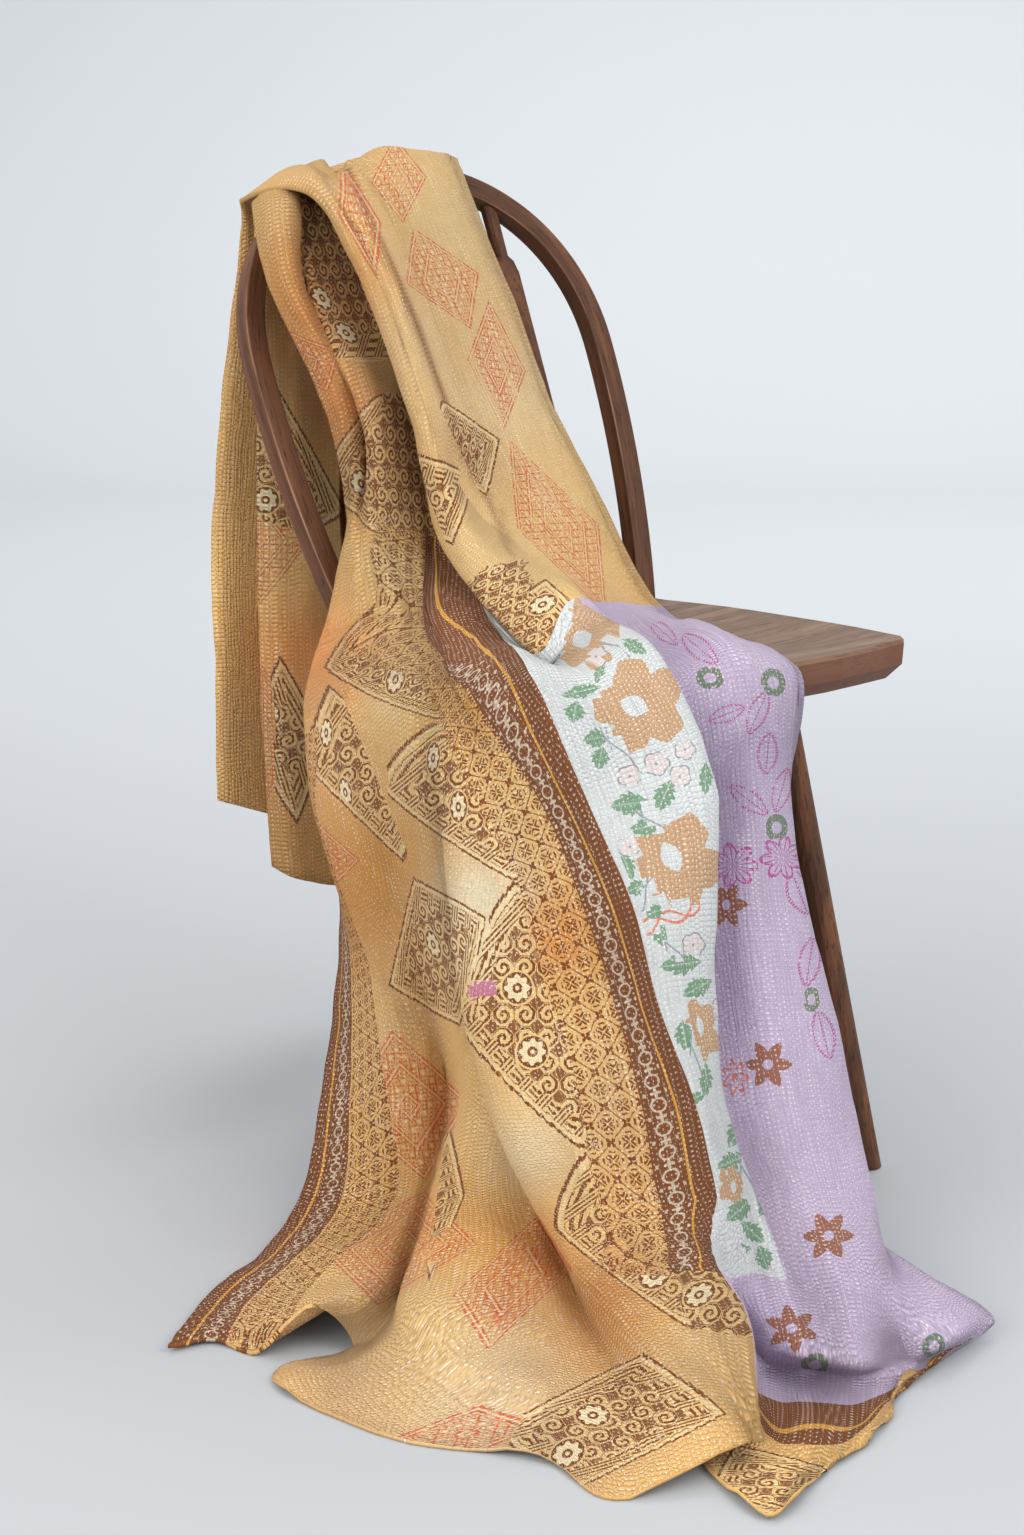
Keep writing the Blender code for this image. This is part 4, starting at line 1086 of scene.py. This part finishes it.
@dataclass
class Drape:
    """The sheet as it hangs: its places, where they are seen, and how they lie in the flat cloth."""

    grid: np.ndarray
    view: View
    row_steps: int
    column_steps: int
    seat_row: float = 10.0
    lean_reach: float = 0.13
    steepest_lean: float = 0.9
    near_px: float = 7.0
    depth_per_px: float = 0.002
    astray: float = 1000.0
    least_seen: float = 0.42

    def __post_init__(self) -> None:
        """Works out each place's row, column, px, and metres across from the free edge and along."""
        rows, columns = self.grid.shape[:2]
        self.row = np.arange(rows)[:, None] / self.row_steps
        self.column = np.arange(columns)[None, :] / self.column_steps
        self.seen = self.view.seen(self.grid)
        across = np.linalg.norm(np.diff(self.grid, axis=1), axis=-1)
        along = np.linalg.norm(np.diff(self.grid, axis=0), axis=-1)
        self.across = np.concatenate([np.zeros((rows, 1)), np.cumsum(across, axis=1)], axis=1)
        self.along = np.concatenate([np.zeros((1, columns)), np.cumsum(along, axis=0)], axis=0)

    def normals(self) -> np.ndarray:
        """The way out of the face at each place."""
        out = np.cross(np.gradient(self.grid, axis=1), np.gradient(self.grid, axis=0))
        return out / np.maximum(np.linalg.norm(out, axis=-1, keepdims=True), TINY)

    def seams(self) -> tuple[np.ndarray, np.ndarray]:
        """The strip number at each place, and the column of the border's edge in each row."""
        table = np.array(SEAMS, float)
        lines = np.stack([np.interp(self.row[:, 0], table[:, 0], table[:, k]) for k in range(1, 5)], -1)
        # beyond the first and last seam the number goes on by one a column
        ends = [np.array([line[0] - 30.0, *line, line[-1] + 30.0]) for line in lines]
        numbers = [-30.0, 0.0, 1.0, 2.0, 3.0, 33.0]
        return np.array([np.interp(self.column[0], spots, numbers) for spots in ends]), lines[:, 0]

    def beside_line(self, line: np.ndarray) -> tuple[np.ndarray, np.ndarray]:
        """Flat coordinates beside a line that runs down the cloth.

        Args:
            line: the column of the line in each row.

        Returns:
            How far each place is to the right of the line, and how far along it, in metres.
        """
        spot = line * self.column_steps
        number = np.arange(self.grid.shape[1])
        start = np.array([np.interp(s, number, a) for s, a in zip(spot, self.across)])
        path = np.array([[np.interp(s, number, r[:, k]) for k in range(3)] for s, r in zip(spot, self.grid)])
        step = np.gradient(path, axis=0)
        left, right = np.maximum(spot.astype(int) - 1, 0), np.minimum(spot.astype(int) + 1, number[-1])
        over = self.grid[np.arange(len(spot)), right] - self.grid[np.arange(len(spot)), left]
        run = np.linalg.norm(step, axis=1)
        lean = (step * over).sum(1) / np.maximum(run * np.linalg.norm(over, axis=1), TINY)
        # the lean is evened out over the length of one row
        lean = np.pad(lean, self.row_steps // 2, mode="edge")
        lean = np.convolve(lean, np.ones(self.row_steps) / self.row_steps, mode="valid")
        beside = self.across - start[:, None]
        along = np.cumsum(run) - np.cumsum(run)[round(self.seat_row * self.row_steps)]
        square = np.sqrt(1.0 - np.clip(lean, -self.steepest_lean, self.steepest_lean) ** 2)[:, None]
        shift = np.clip(beside, -self.lean_reach, self.lean_reach) * lean[:, None]
        return beside * square, along[:, None] + shift

    def flat_from(self, i: int, j: int) -> np.ndarray:
        """How far every place is across and down the flat cloth from one place, in metres."""
        over = self.grid[i, j + 1] - self.grid[i, j - 1]
        down = self.grid[i + 1, j] - self.grid[i - 1, j]
        lean = float(over @ down / (np.linalg.norm(over) * np.linalg.norm(down)))
        walked = (self.along[:, j] - self.along[i, j])[:, None]
        return np.stack([
            self.across - self.across[:, j:j + 1] + walked * lean,
            np.broadcast_to(walked * (1.0 - lean * lean) ** 0.5, self.across.shape),
        ], -1)

    def shown_from(self, spot: np.ndarray) -> tuple[tuple[int, int], np.ndarray]:
        """The foremost place seen at a spot, and how the cloth's flat directions are seen there.

        Args:
            spot: the spot, in px.

        Returns:
            The place's row and column in the grid, and the px that a metre across and down is seen as.
        """
        gap = np.linalg.norm(self.seen[..., :2] - spot, axis=-1)
        # among the places seen near the spot the foremost is taken, or else the one seen nearest to it
        near = np.where(gap < self.near_px, self.seen[..., 2] + gap * self.depth_per_px, gap * self.astray)
        i, j = np.unravel_index(near.argmin(), near.shape)
        i, j = int(np.clip(i, 1, len(near) - 2)), int(np.clip(j, 1, near.shape[1] - 2))
        over = self.grid[i, j + 1] - self.grid[i, j - 1]
        over = over / np.linalg.norm(over)
        down = self.grid[i + 1, j] - self.grid[i - 1, j]
        down = down - over * float(down @ over)
        ways = over, down / np.linalg.norm(down)
        moved = [self.view.seen(self.grid[i, j] + way / MM)[:2] - self.seen[i, j, :2] for way in ways]
        # a turned-away place keeps at least this much of a square-on one's width
        left, sizes, right = np.linalg.svd(np.stack(moved, -1) * MM)
        sizes = np.maximum(sizes, self.least_seen * self.view.scale_px / self.seen[i, j, 2])
        return (i, j), left @ np.diag(sizes) @ right


@dataclass
class PlacedFigure:
    """A figure with its place in the grid, and the matrix from metres of flat cloth to its own half sizes."""

    figure: Print
    spot: tuple[int, int]
    to_own: np.ndarray
    middle: np.ndarray | None = None
    shown: np.ndarray | None = None


@dataclass
class Prints:
    """Lays the figures out on the drape, so that each face carries one of them at most."""

    drape: Drape
    fold_row: float = 9.3
    fold_column: float = 12.3
    field_top: float = 5.9
    field_reach: float = 1.1
    figure_reach: float = 1.25
    spread: float = 1.8
    far: float = 9.0
    rosette_reach: float = 0.045
    rosette_mm: float = 19.0
    far_mm: float = 99.0

    def placed(self) -> list[PlacedFigure]:
        """Every figure of the tables with its place."""
        drape, found = self.drape, []
        for figure, spots in DIAMONDS.items():
            for numbers in spots:
                tip, top, bottom = np.array(numbers, float).reshape(3, 2)
                middle = (top + bottom) / 2
                spot, shown = drape.shown_from(middle)
                own = np.linalg.inv(np.stack([middle - tip, bottom - middle], -1))
                found.append(PlacedFigure(figure, spot, own @ shown, middle, shown))
        for figure, spots in FIGURES.items():
            for x, y, turn, wide, tall in spots:
                middle = np.array([x, y], float)
                spot, shown = drape.shown_from(middle)
                over, down = cos(radians(turn)), sin(radians(turn))
                own = np.array([[over, down], [-down, over]]) @ shown / np.array([[wide], [tall]])
                found.append(PlacedFigure(figure, spot, own, middle, shown))
        for figure, spots in UNSEEN_FIGURES.items():
            for row, column, wide, tall in spots:
                spot = (round(row * drape.row_steps), round(column * drape.column_steps))
                found.append(PlacedFigure(figure, spot, np.diag([MM / wide, MM / tall])))
        return found

    def reach(self, figure: Print, inner: np.ndarray) -> np.ndarray:
        """How far out each face lies in a figure: 1 at its edge, and far more where it is cut off."""
        if figure is Print.FIELD:
            return np.abs(inner).max(-1) * 1.2
        if figure.value > Print.TRELLIS.value:
            return np.abs(inner).max(-1) + 0.2
        left = inner[..., 0] - np.maximum(inner[..., 0], 0.0) * (figure is Print.LOBE)
        limit = {Print.LOBE: 1.25, Print.HALF: 0.2}.get(figure, 2.0)
        return np.abs(left) + np.abs(inner[..., 1]) + (inner[..., 0] > limit) * self.far

    def off_its_fold(self, placed: PlacedFigure, flat: np.ndarray, half_sizes: tuple) -> np.ndarray:
        """The faces that a figure can't reach from the fold that shows it."""
        drape = self.drape
        row, column = drape.row[:-1], drape.column[:, :-1]
        away = np.linalg.norm(corners_of(flat).mean(2), axis=-1) * MM
        away = away > self.spread * max(map(np.linalg.norm, half_sizes))
        beyond = placed.spot[1] / drape.column_steps > self.fold_column
        away |= (row < self.fold_row) & ((column > self.fold_column) != beyond)
        if placed.figure is Print.FIELD:
            away |= row < self.field_top
            away |= np.abs(corners_of(flat @ placed.to_own.T).mean(2)).max(-1) > self.field_reach
        return away

    def figure_numbers(self) -> np.ndarray:
        """The nine numbers of mark, spot and rosette in QUILT_NUMBERS, at each face's four corners."""
        drape = self.drape
        rows, columns = drape.across.shape
        best = np.full((rows - 1, columns - 1), self.figure_reach)
        corners = np.zeros((rows - 1, columns - 1, 4, 9))
        for placed in self.placed():
            half_over, half_down = np.linalg.inv(placed.to_own).T * MM
            flat = drape.flat_from(*placed.spot)
            away = self.off_its_fold(placed, flat, (half_over, half_down))
            if placed.shown is not None:
                flat = (drape.seen[..., :2] - placed.middle) @ np.linalg.inv(placed.shown).T
            sides = np.linalg.norm(half_over - half_down) + np.linalg.norm(half_over + half_down)
            height = abs(float(half_over[0] * half_down[1] - half_over[1] * half_down[0])) * 2 / sides
            own = corners_of(flat @ placed.to_own.T)
            reach = self.reach(placed.figure, own.mean(2)) + away * self.far
            ones = np.ones((*best.shape, 4, 1))
            numbers = np.concatenate([
                own, ones * placed.figure.value, corners_of(flat * MM), ones * height, np.zeros_like(own),
                ones * sides / 2,
            ], -1)
            corners = np.where((reach < best)[..., None, None], numbers, corners)
            best = np.minimum(reach, best)

        nearest = np.full(best.shape, self.rosette_mm)
        corners[..., 6:8] = self.far_mm
        for spot in np.array(ROSETTES, float):
            place, shown = drape.shown_from(spot)
            walked = np.linalg.norm(corners_of(drape.flat_from(*place)).mean(2), axis=-1)
            flat = corners_of((drape.seen[..., :2] - spot) @ np.linalg.inv(shown).T * MM)
            reach = np.linalg.norm(flat.mean(2), axis=-1) + (walked > self.rosette_reach) * self.far_mm
            corners[..., 6:8] = np.where((reach < nearest)[..., None, None], flat, corners[..., 6:8])
            nearest = np.minimum(reach, nearest)
        return corners

    def thread_numbers(self, guides: tuple[float, ...]) -> np.ndarray:
        """Where each face's corners lie among the rows of stitches, beside the nearest guide column."""
        rows, columns = self.drape.across.shape
        guide = np.abs(self.drape.column[0, :-1, None] - np.array(guides)).argmin(-1)
        held = np.zeros((rows - 1, columns - 1, 4, 3))
        for number, column in enumerate(guides):
            beside = self.drape.beside_line(np.full(rows, column))
            beside = np.stack([*beside, np.zeros_like(beside[0])], -1)
            held = np.where((guide == number)[None, :, None, None], corners_of(beside), held)
        return held


@dataclass
class Quilt:
    """The draped sheet: rows across it from the back hem, over the bow and seat, to the hem on the floor."""

    thick: float = 0.003
    column_steps: int = 8
    row_steps: int = 13
    chair_clear: float = 0.0045
    touch_range: float = 0.025
    clearing_rounds: int = 3
    flat: tuple[float, float] = (0.82, 1.95)
    floor_row: float = 20.0
    hem_crumple: float = 1.5
    crease_end_rows: float = 1.2
    guides: tuple[float, ...] = (1.5, 5.0, 8.5, 11.0, 13.2, 16.0, 18.5)
    crumple_mm: tuple[tuple[float, float], ...] = ((15.0, 0.5), (34.0, 1.5), (90.0, 2.2))
    # the painted shade along the creases: its half width in px, and how much it darkens red, green and blue
    crease_shade_px: float = 3.5
    crease_shade_dims: tuple[float, float, float] = (0.70, 0.84, 0.93)
    dye_scales: tuple[float, float] = (9.0, 23.0)
    dye_shifts: tuple[float, float, float] = (0.10, 0.07, -0.12)
    finish: KanthaCotton = field(default_factory=KanthaCotton)

    def laid_out(self, view: View) -> np.ndarray:
        """The drape's middle surface, rows by columns, smooth through the tables' places."""
        hanging = view.hanging_places(np.array(HANGING_ROWS, float))
        floor = view.floor_places(np.array(FLOOR_ROWS, float))
        across = smooth_line(np.concatenate([hanging, floor]).swapaxes(0, 1), self.column_steps)
        return smooth_line(across.swapaxes(0, 1), self.row_steps)

    def creased(self, drape: Drape) -> np.ndarray:
        """The places with the main creases pressed in as soft troughs and ridges, and crumpled a little."""
        rise = np.zeros(drape.grid.shape[:2])
        for crease in CREASES:
            (first, last), (top, low) = crease.columns, crease.rows
            depth = crease.height_mm / MM * np.exp(-(crease.gap(drape.seen) / crease.half_width_px) ** 2)
            starts = np.clip((drape.row - top) / self.crease_end_rows, 0.0, 1.0)
            ends = np.clip((low - drape.row) / self.crease_end_rows, 0.0, 1.0)
            rise += np.where((drape.column >= first) & (drape.column <= last), depth, 0.0) * starts * ends
        for size, height in self.crumple_mm:
            for i, j in np.ndindex(rise.shape):
                loose = 1.0 + self.hem_crumple * max(i / self.row_steps - self.floor_row, 0.0)
                crumple = noise.noise(Vector(drape.grid[i, j]) * (MM / size))
                rise[i, j] += loose * height / MM * crumple
        return drape.grid + drape.normals() * rise[..., None]

    def clear_of_chair(self, grid: np.ndarray) -> np.ndarray:
        """Moves the grid's places until they are clear of the chair and the floor.

        Args:
            grid: the places, rows by columns.

        Returns:
            The moved places.
        """
        surfaces = []
        for name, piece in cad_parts.items():
            if name != "quilt":
                corners = [vertex.co for vertex in piece.data.vertices]
                faces = [face.vertices[:] for face in piece.data.polygons]
                surfaces.append(BVHTree.FromPolygons(corners, faces))
        for _ in range(self.clearing_rounds):
            for i, j in np.ndindex(grid.shape[:2]):
                place = Vector(grid[i, j])
                for surface in surfaces:
                    nearest, outward, _, distance = surface.find_nearest(place, self.touch_range)
                    if nearest is None:
                        continue
                    away = place - nearest
                    if away.dot(outward) < 0.0:
                        place = nearest + outward * self.chair_clear
                    elif distance < self.chair_clear:
                        place = nearest + away.normalized() * self.chair_clear
                grid[i, j] = place
            grid[..., 2] = np.maximum(grid[..., 2], self.thick / 2)
        return grid

    def tints(self, drape: Drape) -> np.ndarray:
        """The ochre cloth's colour at each place: its fades and uneven dye, patches of painted light and
        shade, and painted shade along the creases.
        """
        shape = drape.grid.shape[:2]
        colour = np.broadcast_to(np.array(linear(self.finish.ochre)), (*shape, 4)).copy()
        broad, fine = self.dye_scales
        for i, j in np.ndindex(shape):
            place = Vector(drape.grid[i, j])
            dye = noise.noise(place * broad) + 0.5 * noise.noise(place * fine)
            colour[i, j, :3] *= 1.0 + dye * np.array(self.dye_shifts)
        # patches of fading and dye, some of them painted light on the back folds and painted warm shade in
        # the recess
        for x, y, reach, shade, share in FADES_AND_PAINTED_LIGHT:
            gap = np.hypot(drape.seen[..., 0] - x, drape.seen[..., 1] - y) / reach
            weight = (share * np.exp(-gap * gap))[..., None]
            colour = colour * (1.0 - weight) + np.array(linear(shade)) * weight
        # painted shade: a thin darker line along each crease stands in for the shade in its tight fold
        for crease in CREASES:
            (first, last), (top, low) = crease.columns, crease.rows
            inside = (drape.column >= first) & (drape.column <= last)
            inside = inside & (drape.row >= top) & (drape.row <= low)
            weight = crease.painted_shade * inside * np.exp(-(crease.gap(drape.seen) / self.crease_shade_px) ** 2)
            colour[..., :3] *= 1.0 - weight[..., None] * np.array(self.crease_shade_dims)
        return colour

    def build(self, view: View) -> bpy.types.Object:
        """Builds the draped sheet as one closed body and dresses it."""
        steps = self.row_steps, self.column_steps
        grid = self.clear_of_chair(self.creased(Drape(self.laid_out(view), view, *steps)))
        drape, (rows, columns) = Drape(grid, view, *steps), grid.shape[:2]
        strip, border = drape.seams()
        cloth = np.stack([*drape.beside_line(border), strip], -1)
        row = np.broadcast_to(drape.row, (rows, columns))
        place = np.stack([row, *drape.beside_line(np.zeros(rows))], -1)
        prints = Prints(drape)
        marks = np.concatenate([prints.figure_numbers(), prints.thread_numbers(self.guides)], -1)

        out = drape.normals() * (self.thick / 2)
        points = np.concatenate([(grid + out).reshape(-1, 3), (grid - out).reshape(-1, 3)])
        points[:, 2] = np.maximum(points[:, 2], 0.0)
        index = np.arange(rows * columns).reshape(rows, columns)
        face = corners_of(index).reshape(-1, 4)
        back = face[:, ::-1] + rows * columns
        rim = np.concatenate([index[0, :], index[1:, -1], index[-1, -2::-1], index[-2:0:-1, 0]])
        after = np.roll(rim, -1)
        side = np.stack([after, rim, rim + rows * columns, after + rows * columns], -1)
        faces = np.concatenate([face, back, side])
        made = new_piece("draped_quilt", points.tolist(), faces.tolist(), self.finish.material())

        attributes = made.data.attributes
        for name, values in (("cloth", cloth), ("place", place)):
            held = np.concatenate([values.reshape(-1, 3)] * 2)
            attributes.new(name, "FLOAT_VECTOR", "POINT").data.foreach_set("vector", held.ravel())
        tint = np.concatenate([self.tints(drape).reshape(-1, 4)] * 2)
        attributes.new("tint", "FLOAT_COLOR", "POINT").data.foreach_set("color", tint.ravel())
        for start, name in enumerate(("mark", "spot", "rosette", "thread")):
            own = marks[..., 3 * start:3 * start + 3].reshape(-1, 4, 3)
            held = np.concatenate([own, own[:, ::-1], np.zeros((len(side), 4, 3))])
            attributes.new(name, "FLOAT_VECTOR", "CORNER").data.foreach_set("vector", held.ravel())

        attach(made, "root")
        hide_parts("quilt")
        log.info("%s: %d faces", made.name, len(made.data.polygons))
        return made


# ---------------------------------------------------------------- the chair
@dataclass
class Bow:
    """The steam-bent bow, with its arrises rounded by wear, standing on the seat."""

    half_foot: float = 0.1595
    half_wide: float = 0.189
    wide_rise: float = 0.241
    rise: float = 0.421
    roundness: float = 2.13
    lean: float = radians(25.3)
    seat_top: float = 0.438
    gap: float = 0.0003
    width: float = 0.0190
    rounding: float = 0.0021
    side_steps: int = 26
    crown_steps: int = 40
    corner_steps: int = 4

    def line(self) -> np.ndarray:
        """The outer line from foot to foot, as (half width, rise along the bow)."""
        rise = self.wide_rise * np.arange(self.side_steps) / self.side_steps
        side = self.half_foot + (self.half_wide - self.half_foot) * (1.0 - (1.0 - rise / self.wide_rise) ** 2)
        turn = np.linspace(0.0, pi / 2, self.crown_steps + 1)
        power = 2.0 / self.roundness
        crown = np.stack([
            self.half_wide * np.maximum(np.cos(turn), 0.0) ** power,
            self.wide_rise + (self.rise - self.wide_rise) * np.sin(turn) ** power,
        ], -1)
        half = np.concatenate([np.stack([side, rise], -1), crown])
        return np.concatenate([half, half[-2::-1] * (-1.0, 1.0)])

    def section(self) -> np.ndarray:
        """The rounded square as (inward, behind, how near an arris from 0 to 1)."""
        places = []
        for corner, (over, back) in enumerate(((0, 0), (1, 0), (1, 1), (0, 1))):
            inner = np.array([over, back]) * (self.width - 2 * self.rounding) + self.rounding
            for step in range(self.corner_steps + 1):
                turn = pi + pi / 2 * (corner + step / self.corner_steps)
                wear = 1.0 - abs(2.0 * step / self.corner_steps - 1.0)
                places.append((*(inner + self.rounding * np.array([cos(turn), sin(turn)])), wear))
        return np.array(places)

    def build(self, view: View, wood: bpy.types.Material) -> bpy.types.Object:
        """Sweeps the section along the line and dresses it."""
        line, section = self.line(), self.section()
        way = np.gradient(line, axis=0)
        way = way / np.linalg.norm(way, axis=1, keepdims=True)
        inward = np.stack([-way[:, 1], way[:, 0]], -1)
        flat = line[:, None] + inward[:, None] * section[None, :, :1]
        right, up = np.array([1.0, 0.0, 0.0]), np.array([0.0, sin(self.lean), cos(self.lean)])
        behind = np.array([0.0, cos(self.lean), -sin(self.lean)])
        places = flat[..., :1] * right + flat[..., 1:] * up + section[None, :, 1:2] * behind
        places[..., 2] += self.seat_top
        for end in (0, -1):
            short = (self.seat_top + self.gap - places[end, :, 2]) / up[2]
            places[end] += short[:, None] * up
        places += np.array(view.chair_middle)
        count, around = places.shape[:2]
        index = np.arange(count * around).reshape(count, around)
        after = np.roll(index, -1, axis=1)
        faces = np.stack([index[:-1], after[:-1], after[1:], index[1:]], -1).reshape(-1, 4).tolist()
        faces += [index[0, ::-1].tolist(), index[-1].tolist()]
        made = new_piece("worn_bow", places.reshape(-1, 3).tolist(), faces, wood)

        run = np.concatenate([[0.0], np.cumsum(np.linalg.norm(np.diff(line, axis=0), axis=1))])
        over, back, wear = (np.broadcast_to(part, (count, around)) for part in section.T)
        grain = np.stack([np.broadcast_to(run[:, None], (count, around)), over, back], -1)
        attributes = made.data.attributes
        attributes.new("grain", "FLOAT_VECTOR", "POINT").data.foreach_set("vector", grain.ravel())
        attributes.new("arris", "FLOAT", "POINT").data.foreach_set("value", wear.ravel())
        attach(made, "root")
        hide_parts("bow")
        log.info("%s: %d faces", made.name, len(made.data.polygons))
        return made


@dataclass
class Chair:
    """The chair that the quilt lies on: the worn bow, and the CAD nodes dressed as old waxed wood."""

    frame_wood: WaxedWood = WaxedWood("waxed_stained_oak", "#6E452C", "#4F3120", "#261810")
    seat_wood: WaxedWood = WaxedWood("worn_elm_seat", "#846B58", "#6D5646", "#423228", 4.0, 1.0, 0.6, 1.0)
    bow: Bow = field(default_factory=Bow)

    def build(self, view: View) -> None:
        """Builds the bow and gives every other node of the chair its wood."""
        self.bow.build(view, self.frame_wood.material("grain"))
        dark = self.frame_wood.material("Z")
        seat = self.seat_wood.material("X")
        for name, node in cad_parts.items():
            if name in ("quilt", "bow"):
                continue
            wood = seat if name == "seat" else dark
            for held in node.material_slots:
                held.material = wood
            log.info("%s: %s", name, wood.name)


def main() -> None:
    """Builds the studio, the chair and the quilt, in that order."""
    logging.basicConfig(level=logging.INFO, format="%(message)s")
    view = View()
    view.add_camera()
    Studio().build(view)
    Chair().build(view)
    Quilt().build(view)


if __name__ == "__main__":
    main()
